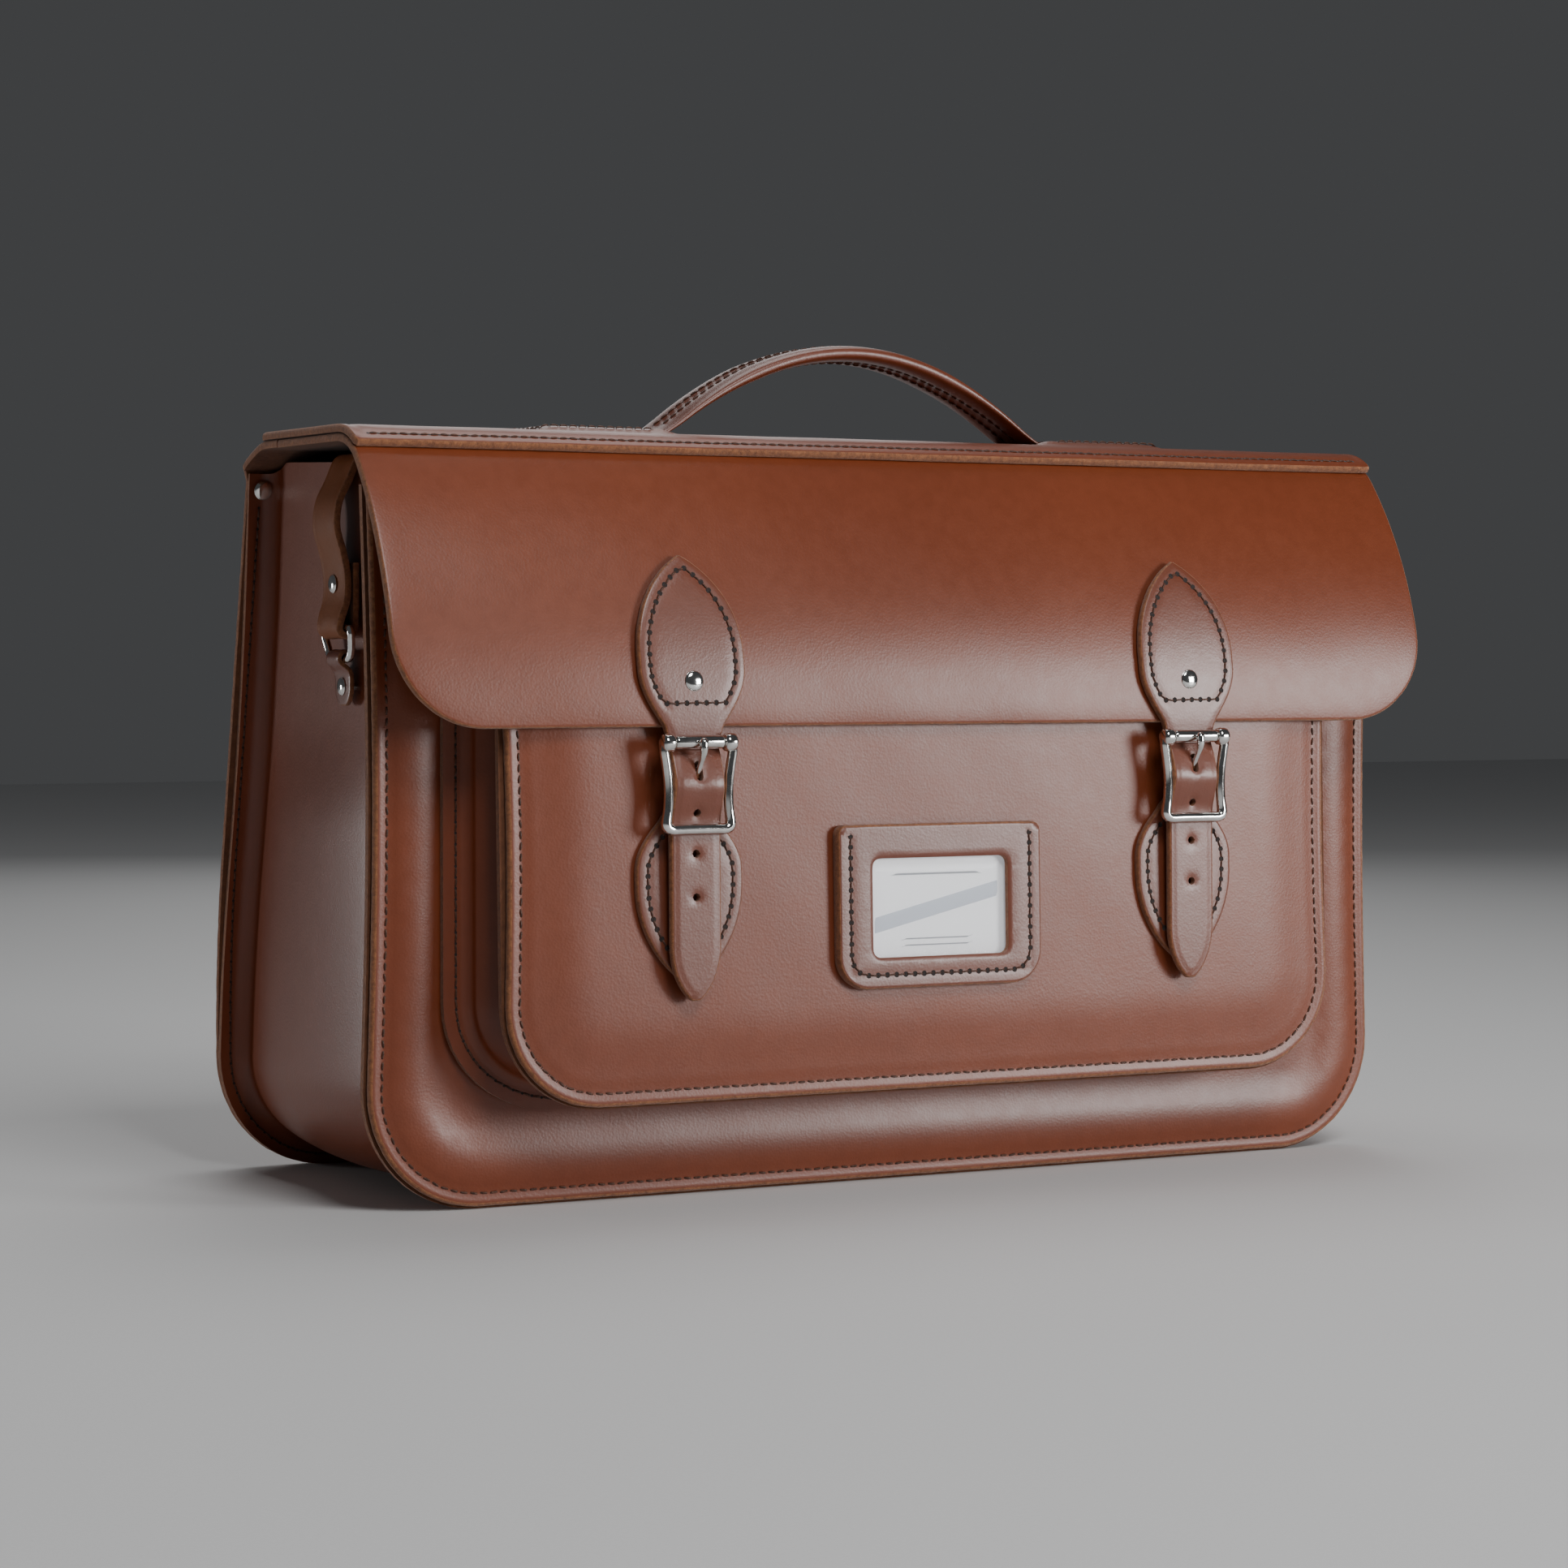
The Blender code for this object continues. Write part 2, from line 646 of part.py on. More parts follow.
def billet_path():
    """(y, z) down the middle of the strap below the flap's hem, through the buckle to its end."""
    on_flap = FRONT_Y - FLAP_STAND - GAP - STRAP_HIDE / 2
    over_bar = BAR_Y - CHAPE_OUTER - GAP - STRAP_HIDE / 2
    behind_foot = BUCKLE_Y + BUCKLE_WIRE + GAP + STRAP_HIDE / 2
    end_z = HEM_Z - STRAP_END_BELOW_HEM
    knots = [
        (on_flap, HEM_Z),
        (on_flap, ROLLER_Z),
        (over_bar, BAR_Z),
        (behind_foot, BUCKLE_FOOT_Z + BUCKLE_WIRE + GAP),
        (behind_foot - 0.0006, end_z),
    ]
    points = [knots[0]]
    for (y0, z0), (y1, z1) in zip(knots[1:3], knots[2:4]):
        for step in range(6):
            t = step / 6
            ease = t * t * (3 - 2 * t)
            points.append((y0 + (y1 - y0) * ease, z0 + (z1 - z0) * t))
    points.append(knots[3])
    tip = STRAP_WIDTH
    points.append((behind_foot, BUCKLE_FOOT_Z - 0.004))
    for step in range(7):
        z = end_z + tip * (1 - step / 6) ** 1.5
        points.append((knots[4][0], z))
    return points


def prong_path(x):
    return [
        (x, BAR_Y - 0.0006, BAR_Z + 0.0018),
        (x, BUCKLE_Y - 0.0007, BAR_Z + BUCKLE_TOP_TO_BAR * 0.43),
        (x, FRONT_Y - PRONG_STAND, ROLLER_Z - 0.0035),
        (x, FRONT_Y - PRONG_STAND, ROLLER_Z + 0.0018),
    ]


def strap(side, x, flap_piece):
    """The leaf on the flap and the billet below it, one piece of leather."""
    half = STRAP_WIDTH / 2
    leaf_steps = 14
    rows = []
    for i in range(leaf_steps):
        along = LEAF_LENGTH * (1 - i / leaf_steps) ** 1.15
        width = max(leaf_half_width(along, half + 0.001), 0.0012)
        angle = along / FLAP_RADIUS
        rows.append((width, flap_point(angle, GAP + STRAP_HIDE), flap_point(angle, GAP)))
    path = billet_path()
    end_z = HEM_Z - STRAP_END_BELOW_HEM
    outer, inner = offset_pair(path, STRAP_HIDE)
    for (y, z), front, behind in zip(path, outer, inner):
        near_end = STRAP_WIDTH - (z - end_z)
        width = gothic(near_end, STRAP_WIDTH, half) if near_end > 0 else half
        if z >= HEM_Z - 0.0001:
            width = half + 0.001
        rows.append((max(width, 0.0012), front, behind))
    piece = sheet(f"strap_{side}", rows, (DARK_LEATHER, 0.45), x)
    holes = [ROLLER_Z - 0.0095 - HOLE_PITCH * i for i in range(1, 4)]
    for i, z in enumerate(holes):
        place = (x, BUCKLE_Y, z)
        cut(piece, cylinder(f"hole_{side}_{i}", place, (0, 1, 0), HOLE_RADIUS, 0.03, segments=12))
    cut(piece, tube(f"prong_way_{side}", prong_path(x), PRONG_RADIUS + 0.0007))
    rise = 0.0150 / FLAP_RADIUS
    y, z = flap_point(rise, GAP + STRAP_HIDE)
    direction = (0, -math.cos(rise), math.sin(rise))
    stack = STRAP_HIDE + GAP + HIDE
    hole = rivet_hole(f"strap_rivet_hole_{side}", (x, y, z), direction, stack)
    cut(piece, hole)
    cut(flap_piece, hole)
    rivet(f"strap_rivet_{side}", (x, y, z), direction, stack)
    move_origin(piece, (x, CREASE_Y, CREASE_Z))


def offset_pair(path, thickness):
    """Points half the thickness in front of and behind a path that runs downwards."""
    front = offset(path, thickness / 2)
    behind = offset(path, -thickness / 2)
    return front, behind


def looped(name, rows, look, centre, loop_axis, bore, outer, width, slot=None):
    """A leather piece whose end is folded round a bar: its sheet, the loop, and the bar's bore."""
    piece = loft(name, rows, look)
    join(piece, cylinder(f"{name}_loop", centre, loop_axis, outer, width, segments=24))
    cut(piece, cylinder(f"{name}_bore", centre, loop_axis, bore, width + 0.01, segments=24))
    if slot:
        cut(piece, box(f"{name}_slot", *slot))
    return piece


def chape(side, x):
    """The lower leaf on the pocket, with its end looped round the buckle's middle bar."""
    neck = STRAP_WIDTH / 2 - 0.0012
    rows = []
    steps = 13
    for i in range(steps + 1):
        along = LEAF_LENGTH * (1 - i / steps) ** 1.15
        z = LOWER_LEAF_TOP_Z - along
        width = max(leaf_half_width(along, neck), 0.0012)
        face = pocket_face(z) - GAP
        rows.append([(x - width, face - STRAP_HIDE, z), (x + width, face - STRAP_HIDE, z)])
        rows[-1] += [(x + width, face, z), (x - width, face, z)]
    for below, half in ((0.0060, 0.0012), (0.0023, 0.0010)):
        z = BAR_Z - below
        share = (BAR_Z - 0.0023 - z) / (BAR_Z - 0.0023 - LOWER_LEAF_TOP_Z)
        y = BAR_Y + (pocket_face(LOWER_LEAF_TOP_Z) - STRAP_HIDE / 2 - GAP - BAR_Y) * share
        ring = [(x - neck, y - half, z), (x + neck, y - half, z)]
        rows.append(ring + [(x + neck, y + half, z), (x - neck, y + half, z)])
    slot = PRONG_RADIUS + 0.0010
    looped(
        f"chape_{side}",
        rows,
        (DARK_LEATHER, 0.45),
        (x, BAR_Y, BAR_Z),
        (1, 0, 0),
        CHAPE_BORE,
        CHAPE_OUTER,
        2 * neck,
        ((x - slot, BAR_Y - 0.01, BAR_Z - PRONG_EYE - 0.0005), (x + slot, BAR_Y + 0.01, BAR_Z + 0.01)),
    )


def buckle(side, x):
    """The frame with its fixed middle bar, the roller on the top bar, and the prong."""
    wire = BUCKLE_WIRE
    half_top, half_waist = BUCKLE_WIDTH / 2 - wire, BUCKLE_WAIST / 2 - wire
    half_foot = half_top - 0.0006
    bend = 0.0022
    right = arc((half_top - bend, ROLLER_Z - bend), bend, 90, 0, 3)
    height = ROLLER_Z - BUCKLE_FOOT_Z
    for i in range(1, 8):
        t = i / 8
        ends = half_top + (half_foot - half_top) * t
        waist = math.sin(math.pi * t) ** 1.2
        right.append((ends + (half_waist - ends) * waist, ROLLER_Z - bend - (height - 2 * bend) * t))
    right += arc((half_foot - bend, BUCKLE_FOOT_Z + bend), bend, 0, -90, 3)
    outline = right + [(-across, z) for across, z in reversed(right)]
    points = [(x + across, BUCKLE_Y, z) for across, z in outline]
    look = (NICKEL, 0.15, 1.0)
    frame = tube(f"buckle_{side}", points, wire, look, cyclic=True)
    reach = half_waist
    bar = [(x - reach, BUCKLE_Y, BAR_Z), (x - reach + 0.0009, BAR_Y, BAR_Z)]
    bar += [(x + reach - 0.0009, BAR_Y, BAR_Z), (x + reach, BUCKLE_Y, BAR_Z)]
    join(frame, tube(f"bar_{side}", bar, BAR_RADIUS))
    for sign in (-1, 1):
        boss = (x + sign * (half_top - 0.0004), BUCKLE_Y, ROLLER_Z - 0.0002)
        join(frame, cylinder(f"boss_{side}_{sign}", boss, (1, 0, 0), ROLLER_RADIUS, 0.0032, segments=16))
    move_origin(frame, (x, BAR_Y, BAR_Z))
    length = 2 * (half_top - 0.0004 - 0.0016 - GAP)
    top = (x, BUCKLE_Y, ROLLER_Z)
    roller = cylinder(f"roller_{side}", top, (1, 0, 0), ROLLER_RADIUS, length, look, 24)
    bore = wire + ROLLER_BORE_CLEARANCE
    cut(roller, cylinder(f"roller_bore_{side}", top, (1, 0, 0), bore, length + 0.01, segments=24))
    move_origin(roller, top)
    pivot = (x, BAR_Y, BAR_Z)
    prong = cylinder(f"prong_{side}", pivot, (1, 0, 0), PRONG_EYE, 2 * PRONG_RADIUS + 0.0006, look, 20)
    join(prong, tube(f"prong_shaft_{side}", prong_path(x), PRONG_RADIUS))
    eye = BAR_RADIUS + 0.00025
    cut(prong, cylinder(f"prong_eye_{side}", pivot, (1, 0, 0), eye, 0.02, segments=20))
    move_origin(prong, pivot)


def holder_rows(low, high, half, corner, out_front, out_back, top_corner=0.0):
    """Rows of an upright slab on the pocket's face, between two distances from that face."""
    heights = corner_heights(low, corner) if corner else [low]
    if top_corner:
        heights += [high - top_corner + top_corner * math.sin(math.pi / 2 * i / 3) for i in range(4)]
    else:
        heights.append(high)
    rows = []
    for z in heights:
        width = outline_half_width(z, half, low, corner) if corner else half
        above = z - (high - top_corner)
        if top_corner and above > 0:
            width = half - top_corner + math.sqrt(max(top_corner**2 - above**2, 0.0))
        rows.append((width, (pocket_face(z) - out_front, z), (pocket_face(z) - out_back, z)))
    return rows


def card_holder():
    """A leather frame sewn round three sides, with a film window and a card that slides out upwards."""
    high = HOLDER_FOOT_Z + HOLDER_HEIGHT
    half = HOLDER_WIDTH / 2
    card_back, card_front = GAP, GAP + CARD_THICKNESS
    film_back, film_front = card_front + GAP, card_front + GAP + WINDOW_FILM
    recess = film_front + GAP
    frame_rows = holder_rows(
        HOLDER_FOOT_Z, high, half, HOLDER_CORNER, GAP + HOLDER_THICKNESS, GAP, 0.003
    )
    frame = sheet("card_holder", frame_rows, (DARK_LEATHER, 0.45), HOLDER_X)
    floor = HOLDER_FOOT_Z + HOLDER_SEAM
    inner_half = half - HOLDER_SEAM
    recess_rows = holder_rows(floor, high + 0.01, inner_half, 0, recess, -0.002)
    cut(frame, sheet("holder_recess", recess_rows, None, HOLDER_X))
    window_rows = holder_rows(
        WINDOW_FOOT_Z, WINDOW_FOOT_Z + WINDOW_HEIGHT, WINDOW_WIDTH / 2, 0.003, 0.02, -0.002, 0.003
    )
    cut(frame, sheet("window_opening", window_rows, None, HOLDER_X))
    film_rows = holder_rows(
        floor + GAP, WINDOW_FOOT_Z + WINDOW_HEIGHT + 0.004, inner_half - 0.001, 0, film_front, film_back
    )
    sheet("card_window", film_rows, ((0.9, 0.9, 0.9, 1), 0.08, 0.0, 0.3), HOLDER_X)
    card_rows = holder_rows(floor + GAP, high - 0.004, inner_half - 0.001, 0, card_front, card_back)
    sheet("id_card", card_rows, ((0.9, 0.9, 0.9, 1), 0.6), HOLDER_X)


def ring_places():
    """(x, z) of the ring's upper and lower bars on the left, as distances from the middle plane."""
    upper_z = HEIGHT - RING_TOP_BELOW_TOP
    lower_x = WALL_X + GAP + RING_WIRE + 0.0003 + CHAPE_HIDE
    upper_x = WALL_X + 2 * GAP + RING_WIRE + 0.0003 + SHOULDER_HIDE
    return (upper_x, upper_z), (lower_x, upper_z - RING_HEIGHT)


def side_ring(side, sign):
    upper, lower = ring_places()
    look = (NICKEL, 0.15, 1.0)
    wide, narrow = SHOULDER_WIDTH / 2 + RING_WIRE + 0.0008, TAB_WIDTH / 2 + RING_WIRE + 0.0008
    points = []
    for (x, z), half in ((upper, wide), (lower, narrow)):
        ends = (-half, half) if half == wide else (half, -half)
        points += [(sign * x, SIDE_Y + y, z) for y in ends]
    ring = tube(f"side_ring_{side}", points, RING_WIRE, look, cyclic=True)
    move_origin(ring, (sign * lower[0], SIDE_Y, lower[1]))
    bore, outer = RING_WIRE + 0.0003, RING_WIRE + 0.0003 + CHAPE_HIDE
    foot = lower[1] - 0.0165
    rows = []
    for i in range(7):
        rise = 0.0125 * (i / 6) ** 1.4
        half = max(gothic(0.0070 - rise, 0.0078, TAB_WIDTH / 2) if rise < 0.007 else TAB_WIDTH / 2, 0.0015)
        face = WALL_X + GAP
        z = foot + rise
        rows.append([(face, -half, z), (face, half, z), (face + 0.0018, half, z), (face + 0.0018, -half, z)])
    half = TAB_WIDTH / 2
    rows.append(
        [(lower[0] - 0.0020, y, lower[1] - 0.0025) for y in (-half, half)]
        + [(lower[0] + 0.0006, y, lower[1] - 0.0025) for y in (half, -half)]
    )
    rings = [[(sign * x, SIDE_Y + y, z) for x, y, z in ring_points] for ring_points in rows]
    centre = (sign * lower[0], SIDE_Y, lower[1])
    tab = looped(
        f"ring_tab_{side}", rings, (LEATHER, 0.45), centre, (0, 1, 0), bore, outer, TAB_WIDTH
    )
    place = (sign * (WALL_X + GAP + 0.0018), SIDE_Y, foot + 0.0070)
    stack = GUSSET_HIDE + GAP + 0.0018
    hole = rivet_hole(f"tab_rivet_hole_{side}", place, (sign, 0, 0), stack)
    cut(tab, hole)
    rivet(f"tab_rivet_{side}", place, (sign, 0, 0), stack)
    return hole


def shoulder_half():
    """(distance from the middle plane, z) from the folded end down round the ring and into the bag."""
    (ring_x, ring_z), _ = ring_places()
    turn = RING_WIRE + 0.0003 + SHOULDER_HIDE / 2
    inner, outer = ring_x - turn, ring_x + turn
    lap = inner + SHOULDER_HIDE + 0.0008
    (near, near_z), (far, far_z) = GUSSET_RIM
    share = SIDE_SET_BACK / (HINGE_Y - FRONT_Y)
    rim = near_z + (far_z - near_z) * (share - near) / (far - near)
    over = rim + SHOULDER_HIDE / 2 + 0.0028
    inside = WALL_X - GUSSET_HIDE - 0.0040
    radius = CORNER_RADIUS - SEAM_FLANGE - (WALL_X - inside)
    floor = SEAM_FLANGE + (WALL_X - inside)
    points = [(inner, ring_z + 0.0225), (inner, ring_z + 0.012)]
    points += arc((ring_x, ring_z), turn, 180, 360, 8)
    points += [(outer - 0.0012, ring_z + 0.004), (lap, ring_z + 0.0095), (lap, ring_z + 0.0180)]
    points += [(lap + 0.0022, ring_z + 0.0255), (lap + 0.0055, ring_z + 0.033)]
    points += [(lap + 0.0052, rim - 0.0060), (WALL_X + 0.0030, over - 0.0010), (WALL_X - 0.0020, over)]
    points += [(inside + 0.0008, over - 0.0030), (inside, rim - 0.008)]
    points += arc((inside - radius, floor + radius), radius, 0, -90, 6)
    return points


def shoulder_strap():
    """The long strap, joined to both rings and stowed down the sides and along the bottom."""
    half = shoulder_half()
    path = [(-x, z) for x, z in half] + list(reversed(half))
    wide = SHOULDER_WIDTH / 2
    rings = []
    for i, (x, z) in enumerate(path):
        before, after = path[max(i - 1, 0)], path[min(i + 1, len(path) - 1)]
        run, rise = after[0] - before[0], after[1] - before[1]
        length = math.hypot(run, rise)
        nx, nz = -rise / length * SHOULDER_HIDE / 2, run / length * SHOULDER_HIDE / 2
        rings.append(
            [(x + nx, SIDE_Y - wide, z + nz), (x + nx, SIDE_Y + wide, z + nz)]
            + [(x - nx, SIDE_Y + wide, z - nz), (x - nx, SIDE_Y - wide, z - nz)]
        )
    strap_piece = loft("shoulder_strap", rings, (LEATHER, 0.45))
    (ring_x, ring_z), _ = ring_places()
    inner = ring_x - RING_WIRE - 0.0003 - SHOULDER_HIDE / 2
    outer_face = inner + 1.5 * SHOULDER_HIDE + 0.0008
    stack = 2 * SHOULDER_HIDE + 0.0004
    for side, sign in SIDES.items():
        place = (sign * outer_face, SIDE_Y, ring_z + 0.0150)
        cut(strap_piece, rivet_hole(f"shoulder_hole_{side}", place, (sign, 0, 0), stack))
        rivet(f"shoulder_rivet_{side}", place, (sign, 0, 0), stack, washer=False)


def seam_rivets(gusset_piece, back_piece):
    """One rivet at the top of each back seam, through the gusset's flange and the back panel."""
    z = GUSSET_BACK_TOP_Z - 0.0065
    direction = Vector((0, -1, -BACK_SLOPE)).normalized()
    for side, sign in SIDES.items():
        face = back_face(z) - HIDE - GAP - GUSSET_HIDE
        place = (sign * (HALF_WIDTH - SEAM_FLANGE / 2), face, z)
        stack = HIDE + GAP + GUSSET_HIDE
        hole = rivet_hole(f"seam_hole_{side}", place, direction, stack)
        cut(gusset_piece, hole)
        cut(back_piece, hole)
        rivet(f"seam_rivet_{side}", place, direction, stack)


def satchel():
    back_piece = panels()
    gusset_piece = gusset()
    pocket()
    lid()
    top_panel()
    handle()
    flap_piece = flap()
    for side, sign in SIDES.items():
        x = sign * STRAP_SPACING / 2
        strap(side, x, flap_piece)
        chape(side, x)
        buckle(side, x)
        cut(gusset_piece, side_ring(side, sign))
    card_holder()
    shoulder_strap()
    seam_rivets(gusset_piece, back_piece)


clear_scene()
SATCHEL = collection("satchel")
CUTTERS = collection("cutters")
satchel()
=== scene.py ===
"""Looks of the satchel: hides with domes, raw edges and stitching, and polished hardware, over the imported
frame. Lengths are in millimetres until a mesh is made. A place on a sheet is (a, b, h): a across it,
b along it and h out of it."""

import math

import bmesh
import bpy
import json
import numpy as np
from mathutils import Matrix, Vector, geometry


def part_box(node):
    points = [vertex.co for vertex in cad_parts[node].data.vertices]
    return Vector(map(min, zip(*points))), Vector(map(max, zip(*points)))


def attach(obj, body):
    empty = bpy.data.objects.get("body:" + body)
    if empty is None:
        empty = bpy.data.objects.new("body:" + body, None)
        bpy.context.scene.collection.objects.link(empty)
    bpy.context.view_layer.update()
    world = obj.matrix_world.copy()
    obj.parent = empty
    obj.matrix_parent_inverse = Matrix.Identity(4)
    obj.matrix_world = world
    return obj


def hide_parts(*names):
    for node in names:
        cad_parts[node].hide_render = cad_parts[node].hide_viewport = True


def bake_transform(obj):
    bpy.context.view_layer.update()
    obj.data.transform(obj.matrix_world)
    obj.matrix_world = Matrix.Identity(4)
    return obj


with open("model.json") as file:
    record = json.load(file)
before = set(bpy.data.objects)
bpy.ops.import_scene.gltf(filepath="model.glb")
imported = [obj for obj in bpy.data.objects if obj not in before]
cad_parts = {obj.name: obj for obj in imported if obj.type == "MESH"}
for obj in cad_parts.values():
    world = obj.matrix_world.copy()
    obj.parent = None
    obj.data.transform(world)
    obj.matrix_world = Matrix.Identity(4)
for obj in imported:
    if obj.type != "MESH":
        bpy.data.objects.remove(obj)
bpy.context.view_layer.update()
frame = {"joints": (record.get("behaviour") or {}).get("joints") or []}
JOINTS = {j["name"]: j for j in frame["joints"]}


def box(node):
    low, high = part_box(node)
    return np.array(low) * 1000, np.array(high) * 1000


# Sizes read from the frame.
FRONT = box("front_panel")[0][1]
BACK = box("back_panel")[1][1]
HALF = box("front_panel")[1][0]
FRONT_TOP = box("front_panel")[1][2]
GUSSET_TOP = box("gusset")[1][2]
HEM = box("flap")[0][2]
FLAP_HALF = box("flap")[1][0]
FLAP_FRONT = box("flap")[0][1]
LID_TOP = box("flap_top")[1][2]
POCKET_HALF = box("pocket_front")[1][0]
POCKET_FOOT, POCKET_TOP = box("pocket_front")[0][2], box("pocket_front")[1][2]
CREASE = np.array(JOINTS["flap_crease"]["pos_m"])[1:] * 1000
HINGE = np.array(JOINTS["top_hinge"]["pos_m"])[1:] * 1000
BAR = np.array(JOINTS["buckle_tilt_right"]["pos_m"]) * 1000
ROLLER = np.array(JOINTS["roller_turn_right"]["pos_m"]) * 1000
RING = np.array(JOINTS["ring_swing_right"]["pos_m"]) * 1000
HANDLE_LOW, HANDLE_HIGH = box("handle")
HIDE, GUSSET_HIDE, STRAP_HIDE, BELT_HIDE, GAP = 2.8, 2.5, 2.6, 2.4, 0.3
FLAP_R = 146.0
FLAP_CY = FLAP_FRONT + FLAP_R
SIDES = {"left": -1, "right": 1}
STRAP_HALF = 9.7
WIRE = 1.4  # the radius of the rings' and buckles' wire
LOOP = 2.85  # the inner radius of a chape round its bar
WALL = HALF - 10  # the gusset's outer face at either side
RING_X = RING[0] + 0.9  # the ring's upper bar
SEAM, LEAF_SEAM = 4.7, 4.1  # from an edge to its stitches, on a panel and on a leaf
POCKET_SWELL = 1.1  # how far the pocket stands out under the pieces sewn to it
LEAN, BACK_LEAN = 0.03, 0.19  # how far the pocket and the top of the back lean, per mm of height
FAR = 1e3


# Materials.
class Look:
    """A material, whose tone, gloss and bumps follow noises in the object's own space."""

    def __init__(self, name, inputs):
        self.made = bpy.data.materials.new(name)
        self.made.use_nodes = True
        self.tree = self.made.node_tree
        self.shader = self.tree.nodes["Principled BSDF"]
        for key, value in inputs.items():
            self.shader.inputs[key].default_value = value
        self.place = self.node("ShaderNodeTexCoord")
        self.raised = None

    def node(self, kind, **values):
        n = self.tree.nodes.new(kind)
        for key, value in values.items():
            if key in n.inputs:
                n.inputs[key].default_value = value
            else:
                setattr(n, key, value)
        return n

    def link(self, a, out, b, into):
        self.tree.links.new(a.outputs[out], b.inputs[into])

    def noise(self, scale, detail, roughness, **more):
        n = self.node("ShaderNodeTexNoise", Scale=scale, Detail=detail, Roughness=roughness, **more)
        self.link(self.place, "Object", n, "Vector")
        return n

    def ramp(self, noise, low, high, a=0.3, b=0.7):
        n = self.node("ShaderNodeValToRGB")
        for end, at, colour in zip(n.color_ramp.elements, (a, b), (low, high)):
            end.position, end.color = at, (*colour, 1)
        self.link(noise, "Fac", n, "Fac")
        return n

    def tone(self, *ramp):
        self.link(self.ramp(*ramp), "Color", self.shader, "Base Color")

    def gloss(self, noise, low, high):
        n = self.node("ShaderNodeMapRange")
        n.inputs["To Min"].default_value, n.inputs["To Max"].default_value = low, high
        self.link(noise, "Fac", n, "Value")
        self.link(n, "Result", self.shader, "Roughness")

    def bump(self, source, strength, distance, out="Fac"):
        """A bump on top of the ones before it."""
        n = self.node("ShaderNodeBump", Strength=strength, Distance=distance)
        self.link(source, out, n, "Height")
        if self.raised:
            self.link(self.raised, "Normal", n, "Normal")
        self.link(n, "Normal", self.shader, "Normal")
        self.raised = n


def grain(name, dark, light, rough=(0.34, 0.44), coat=0.12, bump=0.3, wrinkle=0.12, specular=0.5):
    """The smooth side of a hide: drifting tone, fine pores and soft wrinkles."""
    look = Look(name, {"Coat Weight": coat, "Coat Roughness": 0.28, "Specular IOR Level": specular})
    mottle = look.noise(170.0, 4.0, 0.65)
    pores = look.node("ShaderNodeTexVoronoi", Scale=1100.0)
    look.link(look.place, "Object", pores, "Vector")
    tone = look.ramp(look.noise(6.0, 3.0, 0.5), dark, light)
    fleck = look.ramp(mottle, (0.93, 0.92, 0.91), (1.04, 1.04, 1.04), 0.35, 0.65)
    mix = look.node("ShaderNodeMix", data_type="RGBA", blend_type="MULTIPLY")
    mix.inputs[0].default_value = 0.75
    look.link(tone, "Color", mix, 6)
    look.link(fleck, "Color", mix, 7)
    look.link(mix, 2, look.shader, "Base Color")
    look.gloss(mottle, *rough)
    look.bump(look.noise(55.0, 6.0, 0.7, Distortion=0.6), wrinkle, 0.0006)
    look.bump(pores, bump, 0.0001, "Distance")
    return look.made


def fibre(name, dark, light, scale, rough=0.85, strength=0.7, sheen=0.25):
    """The raw cut edge of a hide, or its suede side."""
    look = Look(name, {"Roughness": rough, "Sheen Weight": sheen, "Sheen Roughness": 0.5})
    coarse = look.noise(scale, 7.0, 0.75)
    look.tone(coarse, dark, light, 0.32, 0.66)
    look.bump(coarse, strength, 0.0004)
    look.bump(look.noise(scale * 5, 3.0, 0.8), strength, 0.00015)
    return look.made


def metal(name):
    look = Look(name, {"Metallic": 1.0})
    haze = look.noise(220.0, 5.0, 0.6)
    look.tone(haze, (0.62, 0.61, 0.58), (0.80, 0.79, 0.77), 0.3, 0.6)
    look.gloss(haze, 0.05, 0.14)
    look.bump(look.noise(900.0, 2.0, 0.5, Distortion=2.0), 0.08, 0.00005)
    return look.made


def twist(name):
    """Waxed thread."""
    look = Look(name, {"Roughness": 0.6})
    strand = look.noise(1800.0, 3.0, 0.6)
    look.tone(strand, (0.030, 0.011, 0.006), (0.110, 0.038, 0.017), 0.35, 0.65)
    look.bump(strand, 0.6, 0.00015)
    return look.made


def paper(name, dark, light, alpha=1.0, rough=0.55, painted_glow=0.0):
    """An even tone with a faint tooth, for the card, its film and the floor. painted_glow is an emission that
    paints extra light onto the card and its band, which are no lamps.
    """
    look = Look(name, {"Roughness": rough, "Alpha": alpha})
    # Painted light: the emission makes the sheet glow brighter than the lamps light it.
    look.shader.inputs["Emission Color"].default_value = (0.92, 0.94, 1.0, 1)
    look.shader.inputs["Emission Strength"].default_value = painted_glow
    pulp = look.noise(900.0, 6.0, 0.7)
    look.tone(pulp, dark, light)
    look.bump(pulp, 0.15, 0.00005)
    return look.made


CHESTNUT = grain("chestnut_hide", (0.165, 0.034, 0.0100), (0.198, 0.043, 0.0135))
DARKER = grain("strap_hide", (0.135, 0.029, 0.0095), (0.168, 0.037, 0.0125), coat=0.22, wrinkle=0.2,
               specular=0.70)
BELTING = grain("belt_hide", (0.185, 0.052, 0.0120), (0.230, 0.068, 0.0170), (0.52, 0.64), 0.0, wrinkle=0.2,
                specular=0.35)
RAW = fibre("raw_edge", (0.13, 0.038, 0.012), (0.36, 0.135, 0.048), 600, 0.8, 1.0)
SUEDE = fibre("suede_side", (0.085, 0.028, 0.011), (0.155, 0.056, 0.023), 260, 0.95, 0.9, 0.06)
NICKEL = metal("polished_nickel")
THREAD = twist("dark_thread")
# Painted shade: near-black for the inside of a needle hole, laid on the surface as a flat disc.
HOLE_SHADE = fibre("needle_hole", (0.006, 0.003, 0.002), (0.02, 0.008, 0.005), 900)
